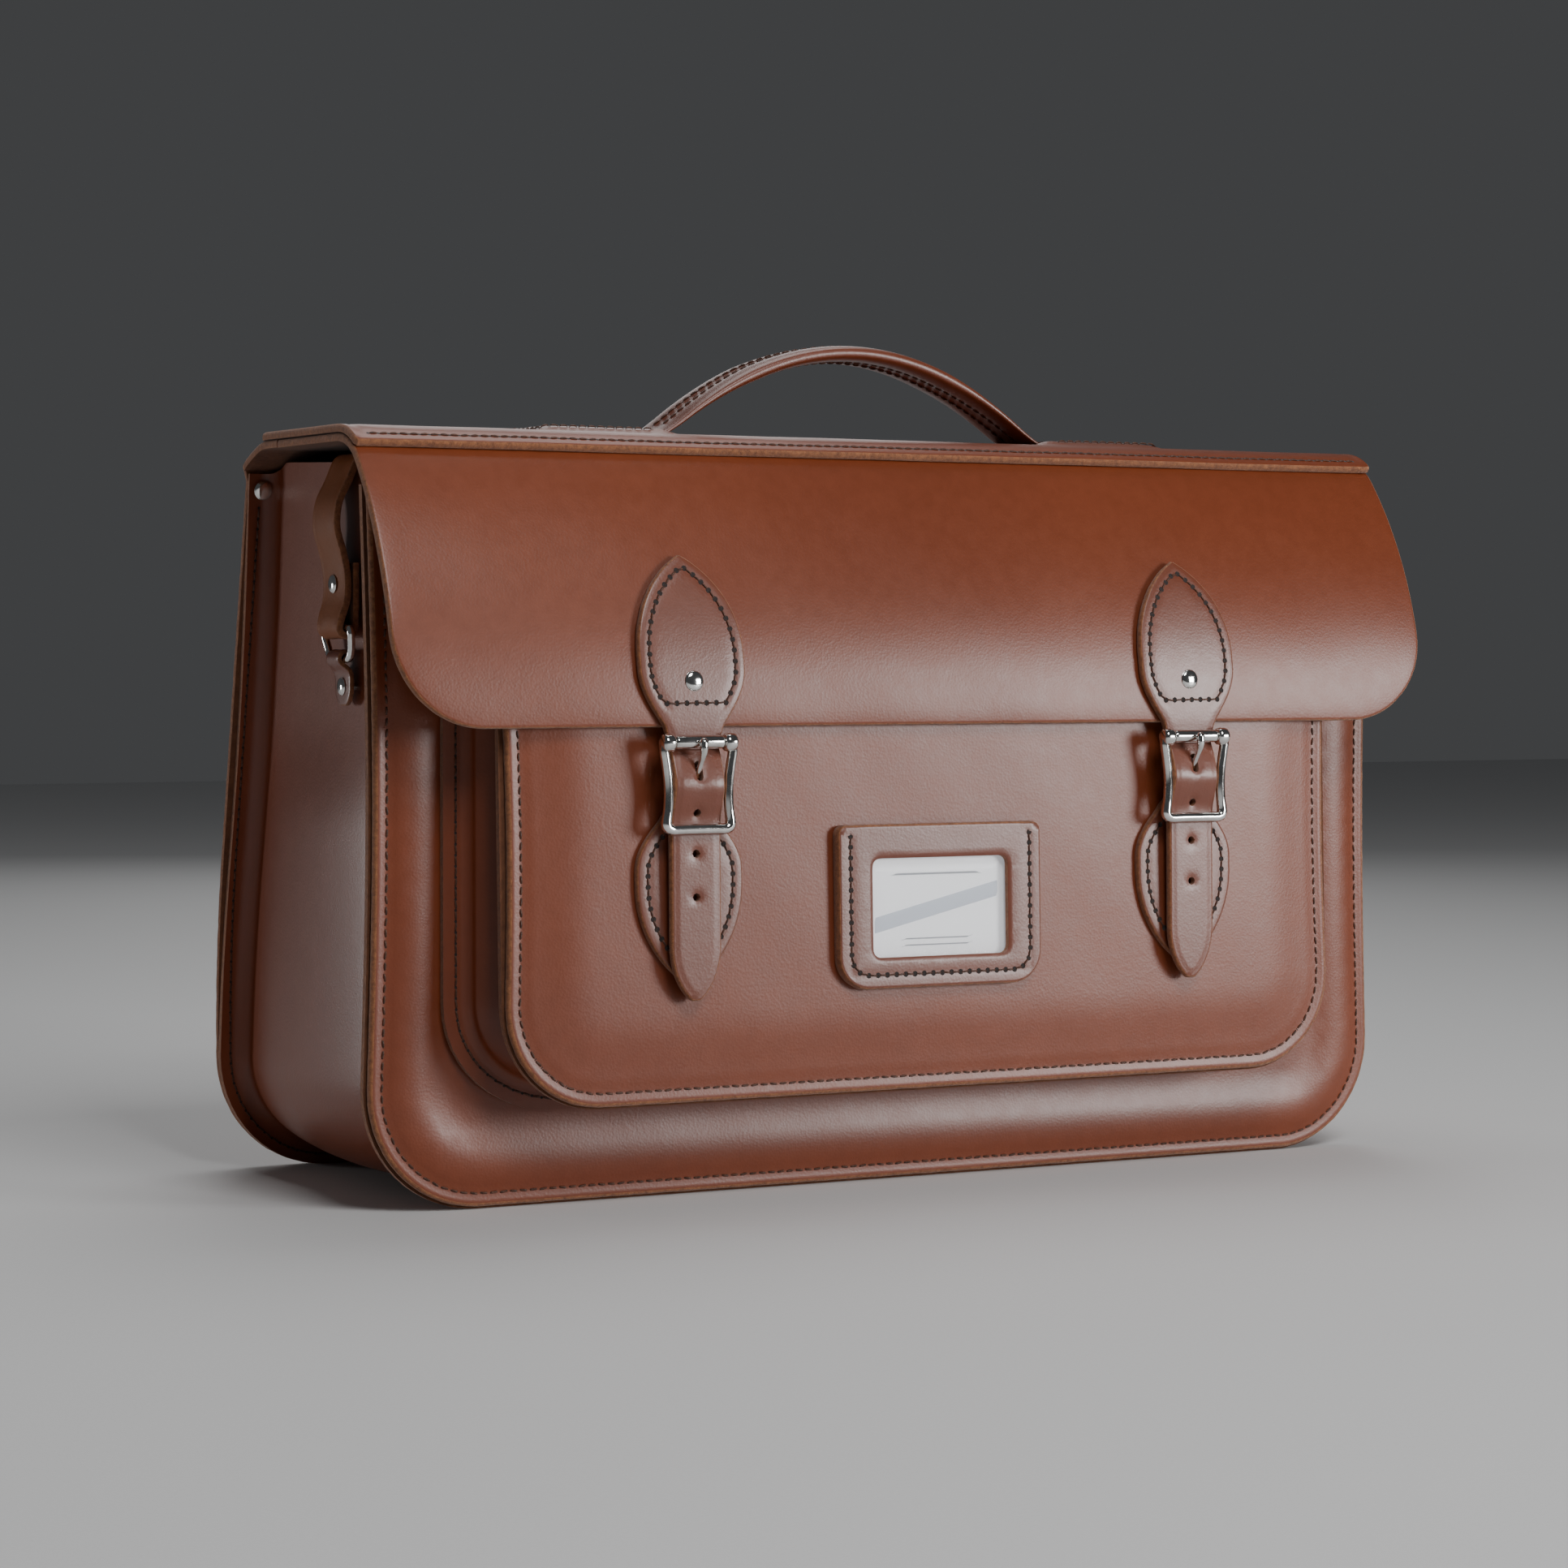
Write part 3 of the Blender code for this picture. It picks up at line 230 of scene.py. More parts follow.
# The card and its printed band glow a little: painted light from emission, not from a lamp.
CARD = paper("plain_card", (0.92, 0.92, 0.94), (0.97, 0.97, 0.99), painted_glow=0.28)
BAND = paper("pale_band", (0.52, 0.57, 0.68), (0.60, 0.65, 0.74), painted_glow=0.05)
INK = paper("grey_ink", (0.20, 0.22, 0.26), (0.30, 0.32, 0.36))
FILM = paper("clear_film", (0.85, 0.86, 0.86), (0.92, 0.93, 0.93), 0.14, 0.06)
LEATHER_LOOKS = (CHESTNUT, RAW, SUEDE)
STRAP_LOOKS = (DARKER, RAW, SUEDE)
BELT_LOOKS = (BELTING, RAW, SUEDE)


# Shapes.
def ripple(a, b, size=1.0, seed=0.0):
    """A smooth wandering height between about -1 and 1."""
    a, b = np.asarray(a, float) / size, np.asarray(b, float) / size
    return (
        np.sin(a * 0.061 + 1.3 * np.sin(b * 0.047 + seed) + seed * 1.7)
        + np.sin(b * 0.083 + 1.1 * np.sin(a * 0.035 - seed) + seed)
        + 0.5 * np.sin(a * 0.17 + b * 0.13 + seed * 3.1)
    ) / 2.5


def smooth(t):
    t = np.clip(t, 0, 1)
    return t * t * (3 - 2 * t)


def unit(v):
    return v / np.linalg.norm(v, axis=-1, keepdims=True)


def lengths(p):
    """How far along a line each of its points is."""
    return np.r_[0, np.cumsum(np.linalg.norm(np.diff(p, axis=0), axis=1))]


def resample(points, step, closed=False):
    p = np.asarray(points, float)
    if closed:
        p = np.vstack([p, p[:1]])
    length = lengths(p)
    count = max(int(round(length[-1] / step)), 3)
    at = np.linspace(0, length[-1], count + 1)
    if closed:
        at = at[:-1]
    return np.column_stack([np.interp(at, length, p[:, k]) for k in range(p.shape[1])])


def curve(points, step=1.5):
    """A smooth curve through the points."""
    p = np.asarray(points, float)
    p = np.vstack([2 * p[0] - p[1], p, 2 * p[-1] - p[-2]])
    made = []
    for i in range(1, len(p) - 2):
        steps = max(int(np.linalg.norm(p[i + 1] - p[i]) / step), 2)
        t = (np.arange(steps) / steps)[:, None]
        a, b, c, d = p[i - 1 : i + 3]
        bent = (2 * a - 5 * b + 4 * c - d) * t**2 + (3 * b - a - 3 * c + d) * t**3
        made.append(0.5 * (2 * b + (c - a) * t + bent))
    return np.vstack([*made, p[-2]])


def arc(centre, radius, start, end, steps=12):
    t = np.radians(np.linspace(start, end, steps + 1))
    return np.column_stack([centre[0] + radius * np.cos(t), centre[1] + radius * np.sin(t)])


class Skin:
    """A sheet's outer face: a profile swept across. Out is to the left of the way the profile runs."""

    def __init__(self, profile, turned=False, centre=0.0):
        p = resample(profile, 1.0)
        t = unit(np.gradient(p, axis=0))
        self.s = lengths(p)
        self.p, self.n, self.t = p, np.column_stack([-t[:, 1], t[:, 0]]), t
        self.turned, self.centre, self.length = turned, centre, self.s[-1]

    def along(self, u=None, w=None):
        """The distance along the profile to the point nearest to (u, w), where either may be left out."""
        d = np.zeros(len(self.p))
        if u is not None:
            d += (self.p[:, 0] - u) ** 2
        if w is not None:
            d += (self.p[:, 1] - w) ** 2
        return self.s[int(np.argmin(d))]

    def __call__(self, a, b, h):
        a, b, h = np.broadcast_arrays(*(np.asarray(v, float) for v in (a, b, h)))
        over = np.clip(b, 0, self.length)
        u, w, nu, nw, tu, tw = (np.interp(over, self.s, c) for c in (*self.p.T, *self.n.T, *self.t.T))
        u, w = u + nu * h + tu * (b - over), w + nw * h + tw * (b - over)
        return np.stack([u, a + self.centre, w] if self.turned else [a + self.centre, u, w], -1)


def put(name, data):
    obj = bpy.data.objects.new(name, data)
    bpy.context.scene.collection.objects.link(obj)
    return obj


def make(name, points, faces, marks, looks, body, nodes=(), slot="panel_leather", smooth_angle=50):
    mesh = bpy.data.meshes.new(name)
    mesh.from_pydata((np.asarray(points) * 0.001).tolist(), [], [list(map(int, f)) for f in faces])
    for look in looks:
        mesh.materials.append(look)
    mesh.polygons.foreach_set("material_index", np.asarray(marks, np.int32))
    bm = bmesh.new()
    bm.from_mesh(mesh)
    bmesh.ops.remove_doubles(bm, verts=bm.verts, dist=1e-7)
    bmesh.ops.recalc_face_normals(bm, faces=bm.faces)
    bm.to_mesh(mesh)
    bm.free()
    mesh.shade_smooth()
    mesh.set_sharp_from_angle(angle=math.radians(smooth_angle))
    obj = put(name, mesh)
    if isinstance(body, str):
        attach(obj, body)
    if nodes:
        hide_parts(*nodes)
    return obj


def distance(points, outline):
    """Each point's distance to a closed outline."""
    a, b = outline, np.roll(outline, -1, 0)
    d = b - a
    out = np.empty(len(points))
    for i in range(0, len(points), 400):
        q = points[i : i + 400, None, :] - a[None]
        t = np.clip((q * d).sum(-1) / np.maximum((d * d).sum(-1), 1e-12), 0, 1)
        out[i : i + 400] = np.sqrt(((q - t[..., None] * d) ** 2).sum(-1)).min(1)
    return out


def inside(points, outline):
    x, y = points[:, 0][:, None], points[:, 1][:, None]
    a, b = outline, np.roll(outline, -1, 0)
    crosses = (a[:, 1] > y) != (b[:, 1] > y)
    rise = np.where(b[:, 1] == a[:, 1], 1e-9, b[:, 1] - a[:, 1])
    at = (b[:, 0] - a[:, 0]) * (y - a[:, 1]) / rise + a[:, 0]
    return (crosses & (x < at)).sum(1) % 2 == 1


def inward(outline):
    t = unit(np.roll(outline, -1, 0) - np.roll(outline, 1, 0))
    return np.column_stack([-t[:, 1], t[:, 0]])


def inset(outline, by):
    """The part of the outline's inner offset that really lies that far in."""
    moved = outline + inward(outline) * by
    return moved[(distance(moved, outline) > by * 0.985) & inside(moved, outline)]


def hide(name, outline, skin, thick, body, top=None, under=None, looks=LEATHER_LOOKS, spacing=6.0,
         rings=(1.6, 3.0, 5.0, 7.5, 10.5), holes=(), rounding=0.7, nodes=(), slot="panel_leather",
         step=2.2):
    """A piece of leather cut to an outline and laid on a skin. Top and under give the height of its two
    faces from (a, b, distance to the edge, distance to the nearest hole)."""
    outline = resample(outline, step, closed=True)
    shift = np.roll(outline, -1, 0)
    if (outline[:, 0] * shift[:, 1] - shift[:, 0] * outline[:, 1]).sum() < 0:
        outline = outline[::-1]
    top = top or (lambda a, b, d, g: 0 * a)
    under = under or (lambda a, b, d, g: top(a, b, d, g) - thick)
    normal = inward(outline)
    rim = outline + normal * rounding
    holes = [resample(h, min(step, 1.2), closed=True) for h in holes]
    loose = [p for p in (inset(outline, r) for r in rings) if len(p)]
    low, high = outline.min(0), outline.max(0)
    rows = np.arange(low[1], high[1], spacing * 0.866)
    starts = [low[0] + (i % 2) * spacing / 2 for i in range(len(rows))]
    grid = np.array([(x, y) for x0, y in zip(starts, rows) for x in np.arange(x0, high[0], spacing)])
    grid = grid[inside(grid, outline)]
    grid = grid[distance(grid, outline) > max([rounding, *rings]) + spacing * 0.45]
    loose.append(grid)
    for h in holes:
        loose += [h + unit(h - h.mean(0)) * out for out in (0.8, 1.8)]
    loose = np.vstack(loose)
    for h in holes:
        loose = loose[~inside(loose, h) & (distance(loose, h) > 0.4)]
    loose = loose[inside(loose, rim) & (distance(loose, rim) > 0.3)]
    flat = np.vstack([rim, *holes, loose])
    edges, start = [], 0
    for loop in (rim, *holes):
        n = len(loop)
        edges += [(start + i, start + (i + 1) % n) for i in range(n)]
        start += n
    made = geometry.delaunay_2d_cdt([Vector(p) for p in flat], edges, [], 0, 1e-4)
    points = np.array([tuple(v) for v in made[0]])
    faces = np.array([f for f in made[2] if len(f) == 3])
    middle = points[faces].mean(1)
    keep = inside(middle, rim)
    for h in holes:
        keep &= ~inside(middle, h)
    faces = faces[keep]
    where = {old: new for new, olds in enumerate(made[3]) for old in olds}
    d = distance(points, outline)
    g = np.min([distance(points, h) for h in holes], axis=0) if holes else np.full(len(points), FAR)
    a, b = points.T
    upper, lower = top(a, b, d, g), under(a, b, d, g)
    mesh = [skin(a, b, upper), skin(a, b, lower)]
    n = len(points)
    all_faces = [*faces, *(faces[:, ::-1] + n)]
    marks = [0] * len(faces) + [2] * len(faces)
    count, start, base = len(outline), 0, 2 * n
    up = np.array([upper[where[i]] for i in range(count)])
    down = np.array([lower[where[i]] for i in range(count)])
    full = up - down
    rough = 0.10 * ripple(outline[:, 0], outline[:, 1], 0.11, 2.0) * min(1.0, rounding / 0.7)
    ring = [np.array([where[i] for i in range(count)])]
    for away, down_share in ((0.55, 0.07), (0.2, 0.22), (0.0, 0.45), (0.0, 0.75), (0.3, 0.97)):
        fray = rough * (0.1 < down_share < 0.9)
        at = outline + normal * (away * rounding + fray)[:, None]
        mesh.append(skin(at[:, 0], at[:, 1], up - full * down_share))
        ring.append(base + np.arange(count))
        base += count
    ring.append(ring[0] + n)
    for k, (first, second) in enumerate(zip(ring, ring[1:])):
        for i in range(count):
            j = (i + 1) % count
            all_faces.append((first[i], second[i], second[j], first[j]))
            marks.append(2 if k == len(ring) - 2 else 1)
    start = count
    for h in holes:
        loop = [where[start + i] for i in range(len(h))]
        start += len(h)
        for i in range(len(loop)):
            j = (i + 1) % len(loop)
            all_faces.append((loop[i], loop[j], loop[j] + n, loop[i] + n))
            marks.append(1)
    return make(name, np.vstack(mesh), all_faces, marks, looks, body, nodes, slot)


def stitches(name, path, skin, body, pitch=3.75, radius=0.38, top=None, slot="panel_leather", hole=0.55):
    """A row of saddle stitches: a needle hole at every pitch, drawn as a flat near-black disc of painted
    shade, and thread from each hole to the next.
    """
    at = resample(path, pitch)
    top = top or (lambda a, b: 0 * a)
    points, faces, marks = [], [], []
    profile = [(0.08, -0.5, 0.4), (0.16, 0.0, 0.85), (0.33, 0.17, 1.0), (0.5, 0.22, 1.05), (0.67, 0.17, 1.0),
               (0.84, 0.0, 0.85), (0.92, -0.5, 0.4)]
    ring = turns(6)
    coat = bands(len(profile), 6)[:-2]
    for first, second in zip(at, at[1:]):
        run = second - first
        across = np.array([-run[1], run[0]]) / max(np.linalg.norm(run), 1e-9)
        base = len(points)
        lean = 0.13 * math.sin(first[0] * 7.1 + first[1] * 3.7)
        for share, height, size in profile:
            centre = first + run * share + across * lean * (share - 0.5) * 4
            side = centre + across * np.cos(ring)[:, None] * radius * size
            out = np.sin(ring) * radius * size * 0.8 + height + 0.1
            points += list(skin(side[:, 0], side[:, 1], out + top(side[:, 0], side[:, 1])))
        faces += [tuple(base + i for i in f) for f in coat]
        marks += [0] * len(coat)
    # Each needle hole is a flat disc just over the leather in the near-black hole material: painted shade for
    # the hole's depth.
    turn = turns(8)
    for a, b in at:
        base = len(points)
        pa, pb = a + np.cos(turn) * hole, b + np.sin(turn) * hole
        points += list(skin(pa, pb, 0.05 + top(pa, pb)))
        faces.append(tuple(base + i for i in range(8)))
        marks.append(1)
    return make(name, np.array(points), faces, marks, (THREAD, HOLE_SHADE), body, (), slot)


def bands(rings, sides, closed=False):
    """The faces of a skin of rings, each numbered after the one before, with its two ends closed off."""
    faces = []
    for k in range(rings if closed else rings - 1):
        for i in range(sides):
            j = (i + 1) % sides
            m = (k + 1) % rings
            faces.append((k * sides + i, k * sides + j, m * sides + j, m * sides + i))
    if not closed:
        faces += [tuple(range(sides)), tuple((rings - 1) * sides + i for i in range(sides))]
    return faces


def turns(count):
    return np.arange(count) / count * 2 * math.pi


def hoop(radius, u, v, sides):
    ring = turns(sides)[:, None]
    return radius * (np.cos(ring) * u + np.sin(ring) * v)


def tube(name, path, radius, body, closed=False, sides=14, nodes=()):
    """A round wire along the path; radius may differ from point to point."""
    p = np.asarray(path, float)
    radius = np.broadcast_to(radius, len(p))
    t = unit(np.roll(p, -1, 0) - np.roll(p, 1, 0) if closed else np.gradient(p, axis=0))
    plane = np.eye(3)[int(np.argmin(np.ptp(p, axis=0)))]
    points = []
    for centre, along, r in zip(p, t, radius):
        u = unit(np.cross(plane, along))
        points.append(centre + hoop(r, u, np.cross(along, u), sides))
    faces = bands(len(p), sides, closed)
    return make(name, np.vstack(points), faces, [0] * len(faces), (NICKEL,), body, nodes, "nickel")


def lathe(name, profile, place, direction, body, sides=32, nodes=()):
    """A turned piece: profile is (radius, distance along direction)."""
    d = unit(np.asarray(direction, float))
    u = unit(np.cross(d, (0.3, 0.5, 0.8)))
    v = np.cross(d, u)
    points = [np.asarray(place) + along * d + hoop(r, u, v, sides) for r, along in profile]
    faces = bands(len(profile), sides)
    return make(name, np.vstack(points), faces, [0] * len(faces), (NICKEL,), body, nodes, "nickel")


def mirrored(right):
    return np.vstack([right, (right * (-1, 1))[::-1]])


def rounded(half, low, high, foot, top, steps):
    """A box that is even about a = 0, with round corners at its foot and its top."""
    return mirrored(np.vstack([
        arc((half - foot, low + foot), foot, -90, 0, steps[0]),
        arc((half - top, high - top), top, 0, 90, steps[1]),
    ]))


def bevelled(x0, x1, y0, y1):
    """A box with 1 mm cut off each corner."""
    return np.array([(x0 + 1, y0), (x1 - 1, y0), (x1, y0 + 1), (x1, y1 - 1), (x1 - 1, y1), (x0 + 1, y1),
                     (x0, y1 - 1), (x0, y0 + 1)])


def panel_outline(half, foot, high, corner, waist=0.0, top_corner=1.5):
    """An upright panel with round bottom corners, drawn in a little at its waist."""
    rise = np.linspace(foot + corner, high - top_corner, 30)[1:-1]
    pull = waist * np.sin(math.pi * np.clip((rise - foot - corner) / (high - foot - corner), 0, 1))
    side = np.column_stack([half - pull, rise])
    return mirrored(np.vstack([
        arc((half - corner, foot + corner), corner, -90, 0, 14),
        side,
        arc((half - top_corner, high - top_corner), top_corner, 0, 90, 3),
    ]))


def seam_path(outline, by, keep):
    """The stitch line that runs this far inside an outline, where keep(a, b) holds, in order."""
    line = inset(resample(outline, 1.0, closed=True), by)
    line = line[keep(line[:, 0], line[:, 1])]
    gap = np.linalg.norm(line - np.roll(line, 1, 0), axis=1)
    return np.roll(line, -int(np.argmax(gap)), 0)


def groove(d, at, depth=0.45, width=1.6):
    return -depth * np.exp(-(((d - at) / width) ** 2))


def sewn_edge(a, b, d, half, foot, high, corner, waist):
    """The distance to an upright panel's sewn edges, which leaves out its open top edge."""
    pull = waist * np.sin(math.pi * np.clip((b - foot - corner) / (high - foot - corner), 0, 1))
    return np.where(b > high / 2, half - pull - np.abs(a), d)


def height_on(top, outline, step=0.7):
    """A sheet's height at any (a, b) that is far from its holes."""
    dense = resample(outline, step, True)
    return lambda a, b: top(a, b, distance(np.column_stack([a, b]), dense), FAR)


# The body: front panel, gusset and back.
FRONT_SHAPE = (HALF - 0.9, 0.9, FRONT_TOP, 41, 2.2)
BACK_CORNER = 42
BEND_FOOT, BEND_TOP = 50, 116  # where the back starts to lean, and where it has its full lean


def back_y(z):
    """The back's outer face: upright, then a long bend, then leaning forwards."""
    z = np.asarray(z, float)
    bend = float(BEND_TOP - BEND_FOOT)
    mid = BACK - BACK_LEAN * (z - BEND_FOOT) ** 2 / (2 * bend)
    leaning = BACK - BACK_LEAN * (z - BEND_TOP + bend / 2)
    return np.where(z <= BEND_FOOT, BACK, np.where(z <= BEND_TOP, mid, leaning))


def flange_y(z):
    """The inner face of the gusset's flange on the back."""
    return back_y(z) - HIDE - GAP - GUSSET_HIDE


def front_top(a, b, d, g=None):
    d = sewn_edge(a, b, d, *FRONT_SHAPE)
    roll = 1.9 * np.sin(math.pi * np.clip((d - SEAM) / 21, 0, 1)) ** 1.3
    return groove(d, SEAM) + roll + 0.12 * ripple(a, b, 1.0, 1.0) * smooth(d / 12)


def body_panels():
    outline = panel_outline(*FRONT_SHAPE)
    skin = Skin([(FRONT, 0), (FRONT, FRONT_TOP)])
    hide("front_hide", outline, skin, HIDE, "body", front_top, nodes=("front_panel",), spacing=6,
         rings=(2.6, 4.0, 5.4, 7.5, 10.5), rounding=1.3)
    line = seam_path(outline, SEAM, lambda a, b: b < FRONT_TOP - 10)
    stitches("front_seam", line, skin, "body", top=height_on(front_top, outline, 1.0))


def gusset_shell(name, path, front, back, wide, bulge, bend, nodes, top_rise=None, flare=None):
    """The strip between two panels: a flange, a round bend, a full wall, a bend and a flange. The path
    gives (x, z, outward normal) at each station, and the section's y runs between two faces."""
    steps = 7
    turn = np.radians(np.linspace(-90, -180, steps))
    wall = np.linspace(0, 1, 22)[1:-1]
    rings, inner_rings = [], []
    for x, z, nx, nz in path:
        fat = flare(nx, nz) if flare else 0.0
        line = [(wide, 0.0, 0.0), (wide - 1.5, 0.0, 0.0)]
        line += [(bend + bend * math.cos(t), bend + bend * math.sin(t), 0.0) for t in turn]
        rear = [(o + fat, -y, 1.0) for o, y, end in line][::-1]
        ys = []
        out = bulge(z) if callable(bulge) else bulge
        middle = [(out * math.sin(math.pi * w) ** 0.6 + fat * w, None, w) for w in wall]
        for o, y, end in line + middle + rear:
            height = z + o * nz
            f, k = front(height), back(height)
            if y is None:
                y = f + bend + (k - f - 2 * bend) * end
            else:
                y = (k if end else f) + y
            ys.append((o, y))
        ys = np.array(ys)
        t = unit(np.gradient(ys, axis=0))
        inner = ys + np.column_stack([-t[:, 1], t[:, 0]]) * GUSSET_HIDE
        for points, store in ((ys, rings), (inner, inner_rings)):
            rise = np.zeros(len(points))
            if top_rise:
                rise = top_rise(z, points[:, 1])
            away = points[:, 0]
            store.append(np.column_stack([x + away * nx, points[:, 1], z + away * nz + rise]))
    n, m = len(rings), len(rings[0])
    points = np.vstack([np.vstack(rings), np.vstack(inner_rings)])
    faces, marks = [], []
    total = n * m
    for k in range(n - 1):
        for i in range(m - 1):
            q = (k * m + i, k * m + i + 1, (k + 1) * m + i + 1, (k + 1) * m + i)
            faces += [q, tuple(v + total for v in q[::-1])]
            marks += [0, 2]
        for i in (0, m - 1):
            faces.append((k * m + i, (k + 1) * m + i, (k + 1) * m + i + total, k * m + i + total))
            marks.append(1)
    for k in (0, n - 1):
        for i in range(m - 1):
            faces.append((k * m + i, k * m + i + 1, k * m + i + 1 + total, k * m + i + total))
            marks.append(1)
    return make(name, points, faces, marks, LEATHER_LOOKS, "body", nodes, "gusset_leather", 60)


def u_path(half, foot, corner, high, waist=None):
    z = np.linspace(high, foot + corner, 34)[:-1]
    pull = waist(z) if waist else 0 * z
    side = [(-half + p, q, -1.0, 0.0) for p, q in zip(pull, z)]
    turn = []
    for t in np.radians(np.linspace(180, 270, 15)):
        c, s = math.cos(t), math.sin(t)
        turn.append((-half + corner + corner * c, foot + corner + corner * s, c, s))
    bottom = [(x, foot, 0.0, -1.0) for x in np.linspace(-half + corner, 0, 10)[1:]]
    left = side + turn + bottom
    return left + [(-x, q, -nx, nz) for x, q, nx, nz in left[-2::-1]]


def gusset():
    waist = lambda z: 2.2 * np.sin(math.pi * np.clip((z - 42) / (FRONT_TOP - 42), 0, 1))
    face = FRONT + HIDE + GAP + GUSSET_HIDE
    rear = lambda z: float(flange_y(z))
    back_rim = rear(GUSSET_TOP - 4)

    def rise(z, y):
        tops = [FRONT_TOP, GUSSET_TOP - 3, GUSSET_TOP, GUSSET_TOP - 3.8]
        rim = np.interp(y, [face, face + 9, back_rim - 9, back_rim], tops)
        return (rim - FRONT_TOP) * smooth((z - 200) / (FRONT_TOP - 200))

    swell = lambda z: 4.8 * smooth((170 - z) / 45) + 0.2
    path = u_path(WALL, 10, 32, FRONT_TOP, waist)
    gusset_shell("gusset_hide", path, lambda z: face, rear, 10.0, swell, 6.0, ("gusset",), rise)
    path = u_path(WALL, 10, 32, GUSSET_TOP - 16)
    line = np.array([(x + 6.2 * nx, z + 6.2 * nz) for x, z, nx, nz in path])
    place = lambda a, b, h: np.stack(np.broadcast_arrays(a, flange_y(b) - h, b), -1)
    stitches("back_flange_seam", line, place, "body", slot="gusset_leather")


def back_hide():
    """The back panel and the start of the lid, one hide that bends over the hinge."""
    z = np.linspace(0, HINGE[1], 120)
    down = np.column_stack([back_y(z), z])[::-1]
    lid = lid_profile()
    top = lid[lid[:, 0] >= HINGE[0] - 35]
    profile = np.vstack([top, down[1:]])
    skin = Skin(profile)
    over = skin.along(HINGE[0], HINGE[1])
    total = skin.length
    body = panel_outline(HALF, 0, total - 30, BACK_CORNER)
    right = np.column_stack([body[:, 0], total - body[:, 1]])
    right = right[(right[:, 1] > over + 6) & (right[:, 0] > 0) & (right[:, 1] < total - BACK_CORNER)]
    path = np.vstack([
        [(-FLAP_HALF, 0), (FLAP_HALF, 0), (FLAP_HALF, over - 2), (HALF + 1.2, over + 1.5), (HALF, over + 6)],
        right[np.argsort(right[:, 1])],
        arc((HALF - BACK_CORNER, total - BACK_CORNER), BACK_CORNER, 0, 90, 14),
    ])
    outline = np.vstack([path, (path[2:] * (-1, 1))[::-1]])

    def back_top(a, b, d, g):
        return groove(d, SEAM) * (b > over) + 0.25 * ripple(a, b, 1.3, 4.0) * smooth(d / 20)

    obj = hide("back_hide", outline, skin, HIDE, None, back_top, spacing=9, nodes=("back_panel",))
    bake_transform(obj)
    line = seam_path(outline, SEAM, lambda a, b: b > over + 12)
    height = height_on(lambda a, b, d, g: groove(d, SEAM), outline, 1.0)
    stitches("back_seam", line, skin, "body", top=height)


FLAP_CORNER = 33
# Down the lid: the handle's place, and the slots that its tails go in by.
GRIP_Y = (HANDLE_LOW[1] + HANDLE_HIGH[1]) / 2
SLOT_IN, SLOT_OUT, SLOT_HALF = 72.6, 83.5, 13.8


def lid_profile():
    """(y, z) on the lid's outer face from the front crease to the back hinge."""
    t = np.linspace(1, 0, 40)
    y0, y1, y2 = CREASE[0] + 18.8, CREASE[0] + 6.7, CREASE[0]
    bend = np.column_stack([
        (1 - t) ** 2 * y0 + 2 * t * (1 - t) * y1 + t**2 * y2,
        (1 - t) ** 2 * LID_TOP + 2 * t * (1 - t) * LID_TOP + t**2 * CREASE[1],
    ])
    flat_end = HINGE[0] - 23.5
    rear = curve([(flat_end - 6, LID_TOP), (flat_end, LID_TOP), (flat_end + 6, LID_TOP - 0.7),
                  (HINGE[0] - 9, LID_TOP - 3.6), (HINGE[0], HINGE[1])], 1.0)[5:]
    return resample(np.vstack([bend, rear]), 0.8)


def flap_hide():
    """The front of the lid and the flap, one hide that bends over the crease."""
    top = math.asin((CREASE[1] - HEM) / FLAP_R)
    angles = np.linspace(0, top, 110)
    hang = np.column_stack([FLAP_CY - FLAP_R * np.cos(angles), HEM + FLAP_R * np.sin(angles)])
    lid = lid_profile()
    lid = lid[lid[:, 0] <= HINGE[0] - 33.5]
    skin = Skin(np.vstack([hang, lid[1:]]))
    total = skin.length
    crease = skin.along(*CREASE)
    corner = arc((FLAP_HALF - FLAP_CORNER, FLAP_CORNER), FLAP_CORNER, -90, 0, 14)
    outline = mirrored(np.vstack([corner, [(FLAP_HALF, total - 1), (FLAP_HALF - 1, total)]]))

    def flap_face(a, b, d, g):
        wave = 0.35 * ripple(a, b, 1.6, 7.0) * smooth((crease - b) / 40)
        return wave - 0.15 * np.exp(-((d / 2.0) ** 2))

    obj = hide("flap_hide", outline, skin, HIDE, None, flap_face, spacing=7, rings=(1.4, 3, 6, 10),
               nodes=("flap", "flap_top"))
    d = np.array((math.sin(top), math.cos(top)))
    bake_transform(obj)


